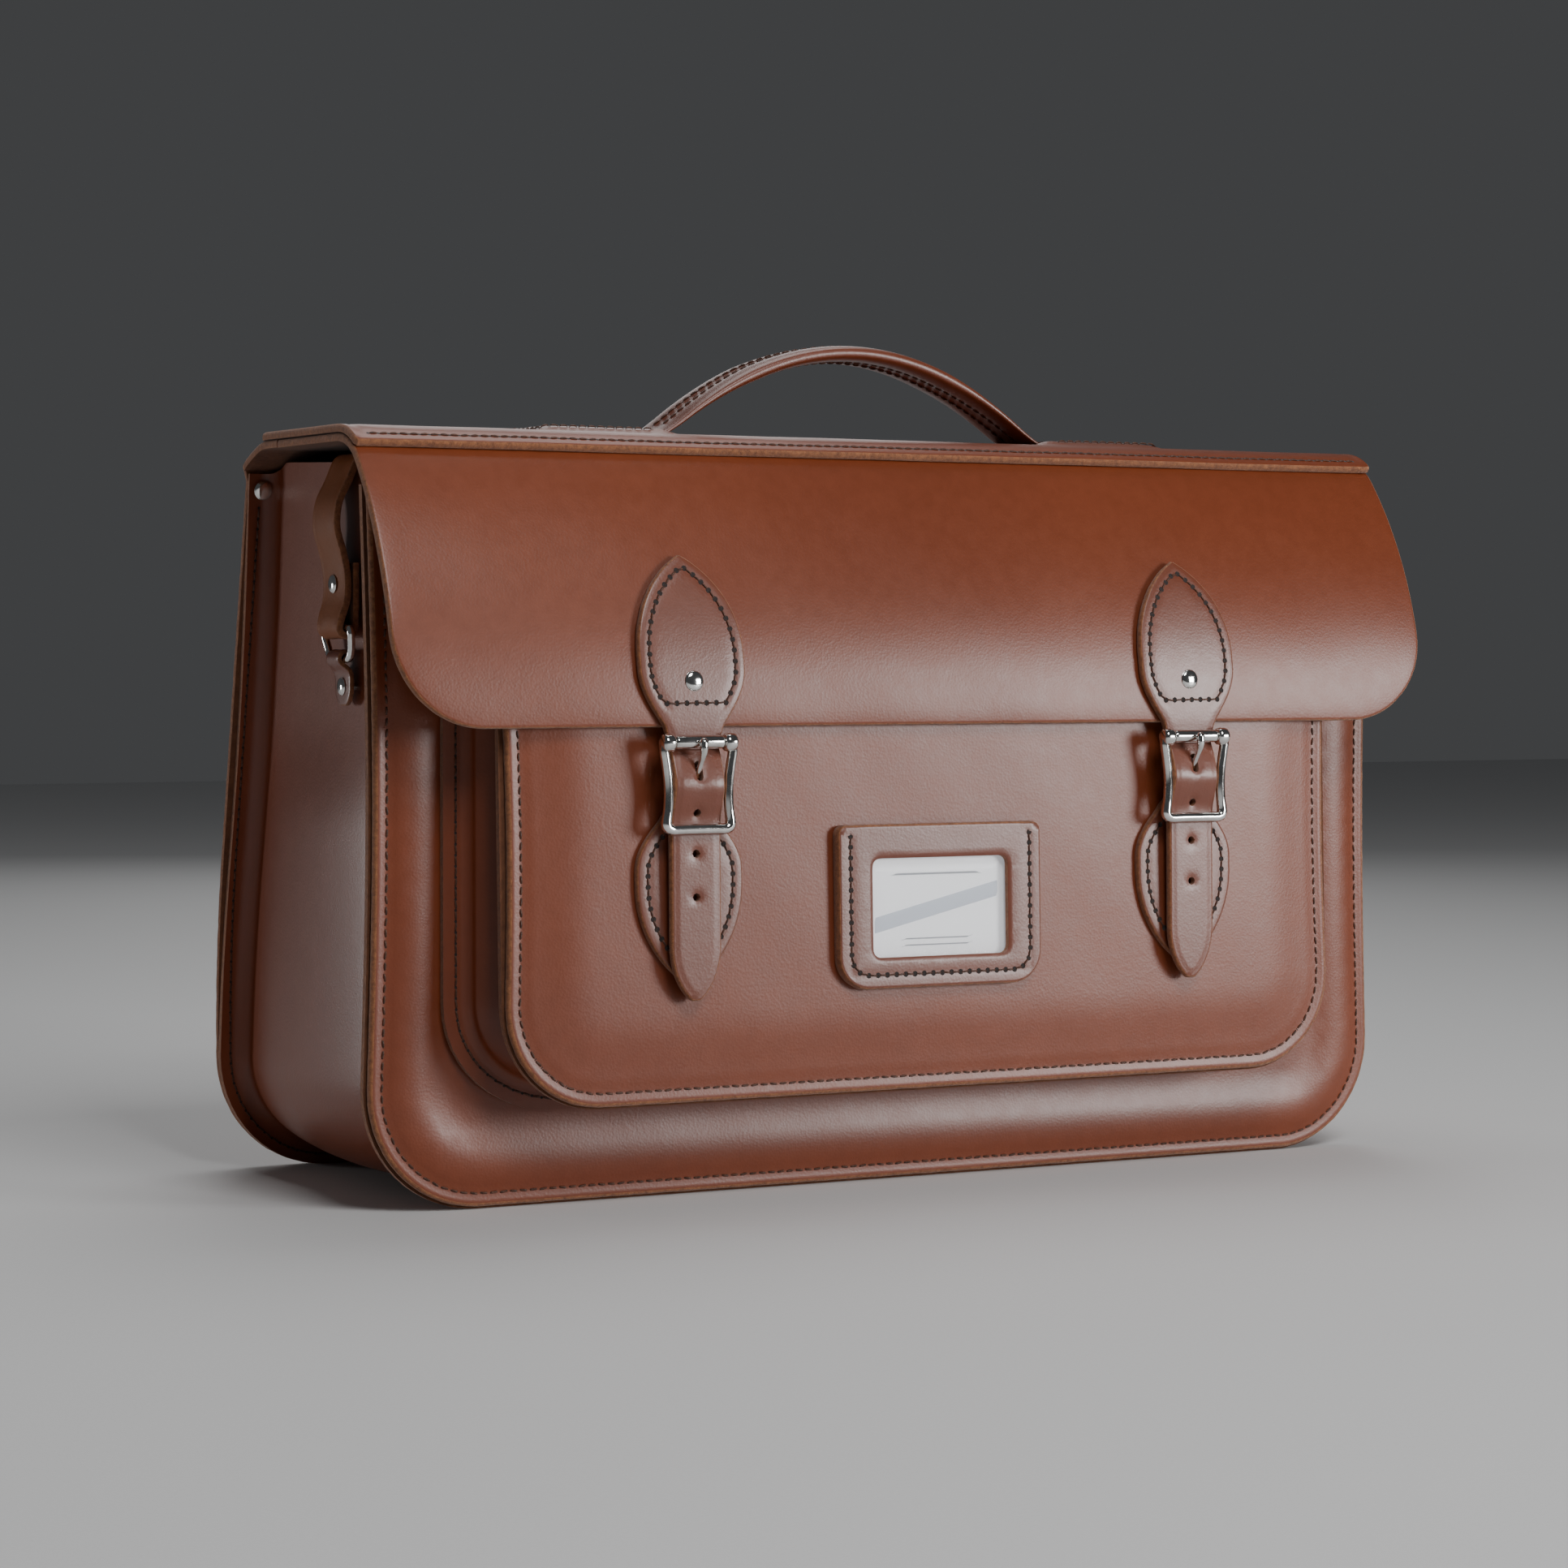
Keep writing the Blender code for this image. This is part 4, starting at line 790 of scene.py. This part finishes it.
def top_layer():
    """The strip over the lid, raised over the handle's tails."""
    lid = Skin(lid_profile())
    front = lid.along(CREASE[0] + 2.9)
    back = lid.along(box("top_panel")[1][1])
    s_mid = lid.along(GRIP_Y)
    outline = bevelled(-FLAP_HALF, FLAP_HALF, front, back)
    in_by = 4.2

    def raised(a, b, d, g):
        x = np.abs(a)
        over_tail = smooth((x - 72) / 12) * (1 - smooth((x - 127) / 8))
        bump = over_tail * (1 - smooth((np.abs(b - s_mid) - 15) / 7))
        return 3.1 + 2.3 * bump + groove(d, in_by, 0.3, 1.2) + 0.15 * ripple(a, b, 1.2, 9.0)

    slots = []
    for sign in (-1, 1):
        x0, x1 = sorted((sign * SLOT_IN, sign * SLOT_OUT))
        b0, b1 = s_mid - SLOT_HALF, s_mid + SLOT_HALF
        slots.append(np.array([(x0, b0), (x1, b0), (x1, b1), (x0, b1)]))
    hide("top_hide", outline, lid, HIDE, "lid", raised, holes=slots, spacing=6, nodes=("top_panel",),
         rings=(1.4, 2.8, in_by, 5.6, 8))
    height = height_on(raised, outline, 1.0)
    for label, s in (("front", front + in_by), ("back", back - in_by)):
        stitches(f"lid_seam_{label}", [(-FLAP_HALF + 6, s), (FLAP_HALF - 6, s)], lid, "lid", top=height)
    for side, sign in SIDES.items():
        frame_line = np.array([(86, -16), (131, -16), (131, 16), (86, 16)]) * (sign, 1) + (0, s_mid)
        stitches(f"tail_seam_{side}", resample(frame_line, 1.0), lid, "lid", top=height)


def handle():
    """The folded handle, with a row of stitches along each edge of its top and its underside."""
    wide = (HANDLE_HIGH[1] - HANDLE_LOW[1]) / 2
    tail = LID_TOP + GAP + 1.1
    apex = HANDLE_HIGH[2] - 3.0
    x = np.linspace(-125, 125, 210)
    far = np.abs(x)
    # A parabola out to the bend, then an S down into the slot and along the tail.
    bend, foot, run = 70, 76, 19
    high = apex - LID_TOP - 5.6
    rise = apex - high * (np.minimum(far, bend) / foot) ** 2
    start = apex - high * (bend / foot) ** 2
    slope = -2 * high * bend / foot**2 * run
    t = np.clip((far - bend) / run, 0, 1)
    drop = (2 * t**3 - 3 * t**2 + 1) * start + (t**3 - 2 * t**2 + t) * slope + (3 * t**2 - 2 * t**3) * tail
    z = np.where(far < bend, rise, drop)
    thin = np.clip((far - 40) / 43, 0, 1)
    half = 2.95 * (1 - thin) + 1.05 * thin
    skin = Skin(np.column_stack([x, z]), turned=True, centre=GRIP_Y)
    ring = np.radians(np.arange(48) / 48 * 360)
    shape = np.column_stack([np.sign(np.cos(ring)) * np.abs(np.cos(ring)) ** 0.55,
                             np.sign(np.sin(ring)) * np.abs(np.sin(ring)) ** 0.75])
    points = []
    s = np.linspace(0, skin.length, 200)
    thickness = np.interp(s, np.linspace(0, skin.length, len(half)), half)
    for at, h in zip(s, thickness):
        across = np.abs(shape[:, 0]) * wide
        dent = 1 - 0.10 * np.exp(-(((across - 3.7) / 1.2) ** 2)) - 0.3 * np.exp(-((across / 0.7) ** 2))
        points.append(skin(shape[:, 0] * wide, at, shape[:, 1] * h * dent))
    faces = bands(len(points), len(ring))
    make("handle_hide", np.vstack(points), faces, [0] * len(faces), (DARKER,), "lid", ("handle",),
         "strap_leather")
    mid = skin.length / 2
    for side, sign in SIDES.items():
        for face, out in (("top", 1), ("under", -1)):
            line = [(sign * 3.7, mid - 82), (sign * 3.7, mid + 82)]
            height = lambda a, b: 0.9 * np.interp(b, s, thickness) - 0.05
            place = skin if out > 0 else (lambda a, b, h: skin(a, b, -h))
            stitches(f"handle_seam_{face}_{side}", line, place, "lid", 3.75, 0.4, height,
                     "strap_leather", 0.6)


# The pocket.
POCKET_RISE = POCKET_TOP - POCKET_FOOT
POCKET_SHAPE = (POCKET_HALF - 0.9, 0.9, math.hypot(POCKET_RISE, LEAN * POCKET_RISE), 35, 1.2)


def pocket_y(z):
    return FRONT - 24.1 - (HEM - np.asarray(z, float)) * LEAN


def pocket_top(a, b, d, g=None):
    d = sewn_edge(a, b, d, *POCKET_SHAPE)
    full = 1.9 * smooth((d - SEAM) / 24) - 0.4
    return groove(d, SEAM, 0.5) + full + 0.15 * ripple(a, b, 1.2, 3.0) * smooth(d / 15)


def pocket():
    z = np.array([POCKET_FOOT, POCKET_TOP])
    skin = Skin(np.column_stack([pocket_y(z), z]))
    outline = panel_outline(*POCKET_SHAPE)
    hide("pocket_hide", outline, skin, HIDE, "body", pocket_top, spacing=6, nodes=("pocket_front",),
         rings=(2.6, 4.0, 5.4, 7.5, 10.5), rounding=1.3)
    line = seam_path(outline, SEAM, lambda a, b: b < skin.length - 3)
    stitches("pocket_seam", line, skin, "body", top=height_on(pocket_top, outline, 1.0))
    face = lambda q: float(pocket_y(q)) + HIDE + GAP + GUSSET_HIDE
    rear = FRONT - GAP - GUSSET_HIDE
    flare = lambda nx, nz: 12 * nx * nx + 3 * nz * nz
    path = u_path(POCKET_HALF - 10, POCKET_FOOT + 10, 26, POCKET_TOP)
    gusset_shell("pocket_gusset_hide", path, face, lambda q: rear, 10.0, 1.2, 4.0, ("pocket_gusset",),
                 flare=flare)
    line = []
    for x, q, nx, nz in u_path(POCKET_HALF - 10, POCKET_FOOT + 10, 26, POCKET_TOP - 4):
        out = flare(nx, nz) + 5.4
        line.append((x + out * nx, q + out * nz))
    place = lambda a, b, h: np.stack(np.broadcast_arrays(a, rear - h, b), -1)
    stitches("pocket_flange_seam", np.array(line), place, "body", slot="gusset_leather")
    return skin


# The straps, their chapes and buckles.
STRAP_THREAD = dict(radius=0.30, slot="strap_leather", hole=1.05)
STRAP_PART = dict(looks=STRAP_LOOKS, slot="strap_leather")


def gothic(along, length, half):
    """The half width of a pointed arch."""
    r = (half**2 + length**2) / (2 * half)
    return np.maximum(np.sqrt(np.maximum(r**2 - along**2, 0)) - (r - half), 0)


def leaf_half(along, neck, full=20.5, swell=20.0, shoulder=25.0, length=60.0):
    """The half width of a leaf, from its neck to its point."""
    along = np.asarray(along, float)
    wide = neck + (full - neck) * np.sin(math.pi / 2 * np.clip(along / swell, 0, 1))
    return np.where(along < shoulder, wide, gothic(along - shoulder, length - shoulder, full))


def strip(b, half):
    """The outline of a strip that is even about a = 0, from its half width at each b."""
    return mirrored(np.column_stack([half, b]))


def strap(side, x):
    """The leaf on the flap and the billet that runs down through the buckle."""
    out = GAP + STRAP_HIDE
    end = HEM - 94
    on_flap = FLAP_FRONT - out
    over_bar = BAR[1] - LOOP - GAP - STRAP_HIDE
    behind = ROLLER[1] + WIRE + GAP
    way = [(behind - 0.6, end), (behind - 0.5, end + 20), (behind - 0.1, end + 46), (behind, BAR[2] - 13.0),
           ((behind + over_bar) / 2, BAR[2] - 6.5), (over_bar, BAR[2] - 0.5), (over_bar + 0.6, BAR[2] + 3.5),
           ((on_flap + over_bar) / 2 + 0.4, BAR[2] + 9.0), (on_flap + 0.1, ROLLER[2] - 1.6), (on_flap, HEM)]
    lower = curve(way, 1.0)
    angle = np.linspace(0, 61 / FLAP_R, 60)[1:]
    r = FLAP_R + out
    upper = np.column_stack([FLAP_CY - r * np.cos(angle), HEM + r * np.sin(angle)])
    skin = Skin(np.vstack([lower, upper]), centre=x)
    hem = skin.along(on_flap, HEM)
    length = skin.length - hem - 1.0
    b = np.r_[np.linspace(0.3, 20, 16), np.linspace(24, hem - 8, 14), hem + np.linspace(-7, length - 0.2, 40)]
    half = STRAP_HALF * (1 - (np.clip(20 - b, 0, 20) / 20.6) ** 2.2) ** 0.75
    neck = STRAP_HALF + 1.9 * smooth((b - hem + 7) / 8)
    half = np.where(b > hem - 7, leaf_half(b - hem, neck, length=length), half)
    outline = strip(b, np.maximum(half, 0.3))
    holes = [arc((0, skin.along(w=z)), 1.5, 0, 330, 11) for z in (136.0, 121.5, 107.0)]
    slot = skin.along(w=BAR[2] + 5.6)
    holes.append(np.vstack([arc((0, slot + 2.6), 1.35, 0, 180, 6), arc((0, slot - 2.2), 1.35, 180, 360, 6)]))

    def top_height(a, b, d, g):
        crease = -0.1 * np.exp(-((d - 1.9) / 0.5) ** 2) * (1 - smooth((b - hem + 4) / 6))
        sew = groove(d, LEAF_SEAM, 0.2, 1.0) * smooth((b - hem - 4) / 4)
        press = -0.35 * np.exp(-((g / 0.9) ** 2))
        folds = -0.12 * np.maximum(0, np.sin(b * 2.1)) * np.exp(-(((b - skin.along(w=BAR[2] + 1)) / 7) ** 2))
        return crease + sew + press + folds + 0.25 * smooth(d / 3)

    hide(f"strap_hide_{side}", outline, skin, STRAP_HIDE, "flap", top_height, spacing=2.6, step=1.3,
         rings=(1.2, 1.9, 2.7, 3.6, 4.4, 5.2), holes=holes, nodes=(f"strap_{side}",), **STRAP_PART)
    line = seam_path(outline, LEAF_SEAM, lambda a, b: b > hem + 7.4)
    line = np.vstack([line, resample([line[-1], line[0]], 1.0)[1:-1], line[:1]])
    stitches(f"leaf_seam_{side}", line, skin, "flap", top=height_on(top_height, outline), **STRAP_THREAD)
    at = (0, hem + 15.4)
    out_dir = skin(*at, 1.0) - skin(*at, 0.0)
    stack = STRAP_HIDE + GAP + HIDE
    rivet(f"strap_cap_{side}", skin(*at, 0.15), out_dir, "flap", stack, f"strap_rivet_{side}")


def rivet(name, place, direction, body, stack, node, back=True, head=3.5):
    """A domed cap with a thin rim, and its flat burr on the far side."""
    pin = 1.3
    turn = np.linspace(0, 1, 9) * math.pi / 2
    dome = [(head * math.sin(q) * 0.96, 0.35 + 0.95 * math.cos(q)) for q in turn]
    profile = [(0.02, dome[0][1])] + dome[1:] + [(head, 0.28), (head, 0.1), (head * 0.93, 0.0), (pin, 0.0)]
    if back:
        profile += [(pin, -stack), (head * 0.9, -stack - 0.05), (head * 0.95, -stack - 0.4)]
        profile += [(0.02, -stack - 0.65)]
    else:
        profile += [(pin, -stack * 0.9), (0.02, -stack * 0.9)]
    lathe(name, profile, place, direction, body, nodes=(node,))


def chape(side, x):
    """The lower leaf sewn to the pocket, with its neck folded round the buckle's middle bar."""
    leaf_top = BAR[2] - 9
    z = np.linspace(leaf_top - 60, leaf_top - 4, 30)
    face = pocket_y(z) - GAP - STRAP_HIDE - POCKET_SWELL
    loop = arc((BAR[1], BAR[2]), LOOP, 215, -20, 16)
    approach = curve([(face[-1], z[-1]), (face[-1] - 0.1, z[-1] + 3.0), (BAR[1] - 1.2, BAR[2] - 5.2),
                      tuple(loop[0])], 0.8)
    skin = Skin(np.vstack([np.column_stack([face, z]), approach[1:], loop[1:]]), centre=x)
    total = skin.length
    neck = STRAP_HALF - 1.2
    b = np.concatenate([np.linspace(0.3, 60, 44), np.linspace(62, total - 0.2, 12)])
    half = np.where(b <= 60, leaf_half(60 - b, neck), neck)
    outline = strip(b, np.maximum(half, 0.3))
    low, high = skin.along(BAR[1] - LOOP, BAR[2]) - 4.6, total - 2.6
    hole = np.array([(-2.0, low), (2.0, low), (2.0, high), (-2.0, high)])
    top = lambda a, b, d, g: groove(d, LEAF_SEAM, 0.2, 1.0) * (b < 56) + 0.2 * smooth(d / 3) * (b < 58)
    under = lambda a, b, d, g: top(a, b, d, g) - (STRAP_HIDE - 1.25 * smooth((b - 58) / 6))
    hide(f"chape_hide_{side}", outline, skin, STRAP_HIDE, "body", top, under, spacing=2.8, step=1.3,
         rings=(1.2, 2.2, 3.3, 4.4, 5.4), holes=[hole], rounding=0.5, nodes=(f"chape_{side}",),
         **STRAP_PART)
    line = seam_path(outline, LEAF_SEAM, lambda a, b: b < 55)
    stitches(f"chape_seam_{side}", line, skin, "body", top=height_on(top, outline), **STRAP_THREAD)


def buckle(side, x):
    """The frame and its middle bar, the roller and the prong."""
    low, high = box(f"buckle_{side}")
    half_top = (high[0] - low[0]) / 2 - WIRE
    foot_z = low[2] + WIRE
    y = ROLLER[1]
    waist = STRAP_HALF + 0.4 + WIRE
    top_z = ROLLER[2]
    right = [(half_top * 0.4, top_z), (half_top - 2.2, top_z), (half_top - 0.5, top_z - 0.8),
             (half_top, top_z - 2.6), (half_top - 0.7, top_z - 7), (waist + 0.2, top_z - 13),
             (waist, top_z - 18), (waist + 0.3, foot_z + 6.5), (half_top - 0.9, foot_z + 3),
             (half_top - 1.0, foot_z + 1.2), (half_top - 2.6, foot_z), (half_top * 0.4, foot_z)]
    loop = right + [(-a, b) for a, b in right[::-1]]
    line = curve(loop + loop[:1], 0.8)[:-1]
    path = np.column_stack([x + line[:, 0], np.full(len(line), y), line[:, 1]])
    swell = 1.66 + 0.1 * smooth((np.abs(line[:, 0]) - waist + 1.2) / 1.4)
    swell = swell + 0.25 * smooth((foot_z + 7 - line[:, 1]) / 7)
    body, roller, prong = f"buckle_{side}", f"roller_{side}", f"prong_{side}"
    tube(f"buckle_frame_{side}", path, swell, body, closed=True, sides=16, nodes=(body,))
    ends = [(waist, y), (waist - 0.7, y + 2.4), (waist - 2.0, BAR[1])]
    bar = [(x - away, v, BAR[2]) for away, v in ends] + [(x, BAR[1], BAR[2])]
    bar += [(x + away, v, BAR[2]) for away, v in ends[::-1]]
    tube(f"buckle_bar_{side}", curve(bar, 0.8), 1.15, body)
    knob = [(3.2 * math.sqrt(1 - (q / 2.8) ** 4), q) for q in np.linspace(-2.78, 2.78, 15)]
    for label, sign in (("a", -1), ("b", 1)):
        at = (x + sign * (half_top - 1.3), y, top_z - 0.2)
        lathe(f"buckle_knob_{side}_{label}", knob, at, (sign, 0, 0), body)
    t = half_top - 4.1
    half = [(1.65, t), (2.0, t), (2.25, t - 0.3), (2.3, t - 0.8)]
    turned = [(r, -at) for r, at in half] + half[::-1]
    lathe(f"roller_tube_{side}", turned, (x, y, top_z), (1, 0, 0), roller, nodes=(roller,))
    front = box(prong)[0][1] + 1.0
    shaft = curve([(x, BAR[1] - 1.8, BAR[2] + 0.6), (x, BAR[1] - 2.2, BAR[2] + 2.6),
                   (x, y - 0.7, BAR[2] + 6.45), (x, front, top_z - 3.5), (x, front, top_z - 0.5),
                   (x, front + 0.15, top_z + 1.6)], 0.6)
    n = len(shaft)
    r = np.r_[np.linspace(1.1, 0.95, n // 2), np.linspace(0.97, 1.5, n - n // 2 - 4), 1.55, 1.5, 1.15, 0.5]
    tube(f"prong_shaft_{side}", shaft, r, prong, nodes=(prong,))
    eye = [(1.5, -1.25), (2.3, -1.25), (2.65, -0.9), (2.7, 0), (2.65, 0.9), (2.3, 1.25), (1.5, 1.25)]
    lathe(f"prong_eye_{side}", eye, (x, BAR[1], BAR[2]), (1, 0, 0), prong)


def card_holder(pocket_skin):
    """The holder, its window film, and the card with three ruled lines and a band."""
    low, high = box("card_holder")
    half = (high[0] - low[0]) / 2
    s0, s1, w0, w1 = (pocket_skin.along(w=z) for z in (low[2], high[2], 83, 118))
    skin = Skin(pocket_skin.p, centre=(low[0] + high[0]) / 2)
    rest, full, corner, sewn_in = POCKET_SWELL, 4.2, 12, 5
    outline = rounded(half, s0, s1, corner, 3, (8, 3))
    window = rounded(28, w0, w1, 3, 3, (4, 4))

    def top_height(a, b, d, g):
        sewn = groove(np.minimum(half - np.abs(a), b - s0), sewn_in, 0.2, 1.0) * (b < s1 - 3)
        return rest + GAP + full - 0.5 * np.exp(-((g / 0.7) ** 2)) + sewn

    def under(a, b, d, g):
        edge = np.minimum(np.minimum(half - np.abs(a), b - s0), 60)
        return rest + GAP + (full - BELT_HIDE) * smooth((edge - 8.2) / 0.6)

    hide("holder_hide", outline, skin, BELT_HIDE, "body", top_height, under, spacing=4.0, step=1.5,
         rings=(1.4, 2.8, 4.0, 5.0, 6.0, 8.2, 9.0), holes=[window], nodes=("card_holder",),
         **STRAP_PART)
    turn = arc((half - corner, s0 + corner), corner - sewn_in, -90, 0, 8)
    line = np.vstack([turn, [(half - sewn_in, s1 - 4)]])
    line = np.vstack([(line * (-1, 1))[::-1], line])
    stitches("holder_seam", line, skin, "body", top=height_on(top_height, outline), **STRAP_THREAD)

    def plate(name, outline, h0, h1, look, body, nodes=(), slot="card", spacing=12.0, step=3.0):
        """A flat sheet between two heights over the pocket."""
        thick = h1 - h0
        hide(name, outline, skin, thick, body, lambda a, b, d, g: h1 + 0 * a, looks=(look,) * 3, rings=(),
             spacing=spacing, rounding=min(0.12, thick / 2), nodes=nodes, slot=slot, step=step)

    card = bevelled(-31.5, 31.5, s0 + 9.3, s1 - 4)
    plate("card_blank", card, rest + 0.3, rest + 0.75, CARD, "id_card", ("id_card",))
    for i, (reach, level, thick) in enumerate(((19, 29.5, 0.7), (15, 6.5, 0.5), (15, 4.2, 0.5))):
        rule = bevelled(-reach, reach, w0 + level - thick, w0 + level)
        plate(f"card_rule_{i}", rule, rest + 0.70, rest + 0.78, INK, "id_card")
    band = np.array([(-25.5, w0 + 8.5), (25.5, w0 + 20.5), (25.5, w0 + 26.0), (-25.5, w0 + 14.0)])
    plate("card_band", band, rest + 0.73, rest + 0.79, BAND, "id_card", spacing=6.0, step=2.0)
    film = bevelled(-31.5, 31.5, s0 + 9.3, w1 + 3.5)
    plate("window_film", film, rest + 1.05, rest + 1.3, FILM, "body", ("card_window",), "clear_film")


def side_gear(side, sign):
    """The ring, its tab and the rivet on the tab."""
    low, high = box(f"side_ring_{side}")
    top_z, foot_z = high[2] - WIRE, low[2] + WIRE
    mid = (low[1] + high[1]) / 2
    wide = (high[1] - low[1]) / 2 - WIRE
    narrow = wide - 3.0
    rear = [(wide - 2, top_z, RING_X), (wide, top_z - 1.6, RING_X), (narrow + 1.2, foot_z + 3, RING[0]),
            (narrow - 1.5, foot_z, RING[0])]
    loop = [(-wide + 2, top_z, RING_X), (0, top_z, RING_X)] + rear + [(0, foot_z, RING[0])]
    loop += [(-v, z, x) for v, z, x in rear[:0:-1]]
    line = curve(loop + loop[:1], 0.9)[:-1]
    path = np.column_stack([sign * line[:, 2], mid + line[:, 0], line[:, 1]])
    tube(f"ring_wire_{side}", path, WIRE, f"ring_{side}", closed=True, nodes=(f"side_ring_{side}",))
    wall = WALL + GAP + 0.2
    turn = arc((RING[0], foot_z), 3.1, -60, 150, 14)
    tail = [(wall + 2.0, foot_z - 16.5), (wall + 2.0, foot_z - 9), (wall + 2.3, foot_z - 5), tuple(turn[0])]
    profile = np.vstack([curve(tail, 0.8), turn[1:]])
    skin = Skin(profile, turned=True, centre=mid)
    flip = lambda a, b, h: skin(a, b, -h) * (sign, 1, 1)
    b = np.concatenate([np.linspace(0.2, 7, 9), np.linspace(8, skin.length - 0.2, 14)])
    half = np.where(b < 7, gothic(7 - b, 7.6, 7.0), 7.0) - 1.5 * smooth((b - skin.along(*tail[2])) / 4)
    top = lambda a, b, d, g: 0.15 * smooth(d / 2)
    hide(f"tab_hide_{side}", strip(b, np.maximum(half, 0.4)), flip, 1.5, "body", top, spacing=2.2, step=1.0,
         rings=(1.2, 2.2), rounding=0.4, nodes=(f"ring_tab_{side}",), **STRAP_PART)
    at = (sign * (wall + 2.2), mid, foot_z - 9.6)
    rivet(f"tab_cap_{side}", at, (sign, 0, 0), "body", 4.6, f"tab_rivet_{side}", head=3.2)


def shoulder_strap():
    """The shoulder strap, folded round both rings and stowed down the sides and along the bottom."""
    low, high = box("side_ring_right")
    ring_z = high[2] - WIRE
    mid = (low[1] + high[1]) / 2
    half_wide = 10.0
    turn = 1.7 + BELT_HIDE
    inner, outer = RING_X - turn, RING_X + turn
    lap = max(inner + 2 * BELT_HIDE + 0.5, WALL + 5.7)
    rim = GUSSET_TOP - 2
    inside_x = WALL - GUSSET_HIDE - 4.0
    radius = BACK_CORNER - 10 - (WALL - inside_x)
    floor = 10 + (WALL - inside_x)
    way = [(inner, ring_z + 22.5), (inner, ring_z + 12), (inner, ring_z + 4)]
    way += [tuple(p) for p in arc((RING_X, ring_z), turn, 180, 360, 8)]
    way += [(outer - 0.8, ring_z + 4), (lap + 0.1, ring_z + 10), (lap, ring_z + 18), (lap + 1.6, ring_z + 26),
            (lap + 3.8, ring_z + 34), (lap + 3.0, ring_z + 43), (lap - 0.8, ring_z + 51),
            (HALF - 8.4, rim + 1.2), (HALF - 12, rim + 3.0), (inside_x + 1.0, rim + 1.4),
            (inside_x, rim - 8), (inside_x, 120), (inside_x, floor + radius)]
    way += [tuple(p) for p in arc((inside_x - radius, floor + radius), radius, 0, -90, 6)[1:]]
    half = curve(way, 1.5)
    skin = Skin(np.vstack([half * (-1, 1), half[::-1]]), turned=True, centre=mid)
    total = skin.length
    fold = 22.5 + math.pi * turn / 2
    cut = skin.along(-HALF + 12, rim + 3.0) + 40
    creased = lambda a, b, d, g: -0.2 * np.exp(-(((d - 1.8) / 0.5) ** 2))
    laid = dict(looks=BELT_LOOKS, spacing=4.5, rings=(1.2, 1.8, 2.6), slot="gusset_leather", step=2.0,
                rounding=0.5)
    b = np.linspace(cut, total - cut, 30)
    hide("shoulder_hide", strip(b, np.full(len(b), half_wide)), skin, BELT_HIDE, "body", creased,
         nodes=("shoulder_strap",), **laid)
    b = np.arange(0.3, cut - 0.2, 1.5)
    pinched = half_wide - 1.3 * np.exp(-(((b - fold) / 9) ** 2))
    for side, sign in SIDES.items():
        outline = strip(b if sign < 0 else total - b, pinched)
        end = hide(f"shoulder_end_{side}", outline, skin, BELT_HIDE, None, creased, **laid)
        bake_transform(end)
    for side, sign in SIDES.items():
        at = (sign * (lap + 0.15), mid, ring_z + 15.0)
        rivet(f"shoulder_cap_{side}", at, (sign, 0, 0), "body", 5.2, f"shoulder_rivet_{side}", False, 3.2)
    print("shoulder strap length, mm:", round(total))


def seam_caps():
    for side, sign in SIDES.items():
        low, high = box(f"seam_rivet_{side}")
        z = (low[2] + high[2]) / 2
        at = (sign * (HALF - 5), float(flange_y(z)) - 0.2, z)
        rivet(f"seam_cap_{side}", at, (0, -1, -BACK_LEAN), "body", 6.0, f"seam_rivet_{side}")


# Camera, lights and floor.
def camera():
    data = bpy.data.cameras.new("camera")
    data.lens, data.sensor_width = 90.7, 36
    obj = put("camera", data)
    obj.location = (-0.7298, -1.2779, 0.193)
    obj.rotation_mode = "XYZ"
    obj.rotation_euler = (math.radians(90 - 2.01), math.radians(-0.07), math.radians(-29.0))
    bpy.context.scene.camera = obj


def light(name, place, size, energy, target=(0, 0, 0.14), size_y=None):
    data = bpy.data.lights.new(name, "AREA")
    data.shape, data.size, data.size_y, data.energy = "RECTANGLE", size, size_y or size, energy
    obj = put(name, data)
    obj.location = place
    obj.rotation_mode = "QUATERNION"
    obj.rotation_quaternion = (Vector(target) - Vector(place)).to_track_quat("-Z", "Y")


def studio():
    world = bpy.data.worlds.new("studio")
    world.use_nodes = True
    world.node_tree.nodes["Background"].inputs[0].default_value = (0.80, 0.82, 0.85, 1)
    world.node_tree.nodes["Background"].inputs[1].default_value = 0.07
    bpy.context.scene.world = world
    light("window", (1.25, -1.65, 0.42), 0.65, 25, (0.05, 0, 0.13), 0.55)
    light("key", (-0.1, -1.2, 1.3), 0.6, 13, (0, 0, 0.1))
    light("side", (-1.12, 0.79, 0.08), 0.25, 3.4, (-0.2, 0, 0.08), 0.3)
    light("behind", (0.7, 1.7, 0.9), 0.8, 3)
    light("top", (0.2, 0.5, 1.5), 0.9, 7)
    bpy.ops.mesh.primitive_plane_add(size=8, location=(0, 0, 0))
    floor = bpy.context.object
    floor.name = "floor"
    floor.data.materials.append(paper("pale_floor", (0.66, 0.66, 0.66), (0.70, 0.70, 0.70), 1.0, 0.7))


body_panels()
gusset()
back_hide()
flap_hide()
top_layer()
handle()
pocket_skin = pocket()
for side, sign in SIDES.items():
    x = sign * BAR[0]
    strap(side, x)
    chape(side, x)
    buckle(side, x)
    side_gear(side, sign)
card_holder(pocket_skin)
shoulder_strap()
seam_caps()
camera()
studio()
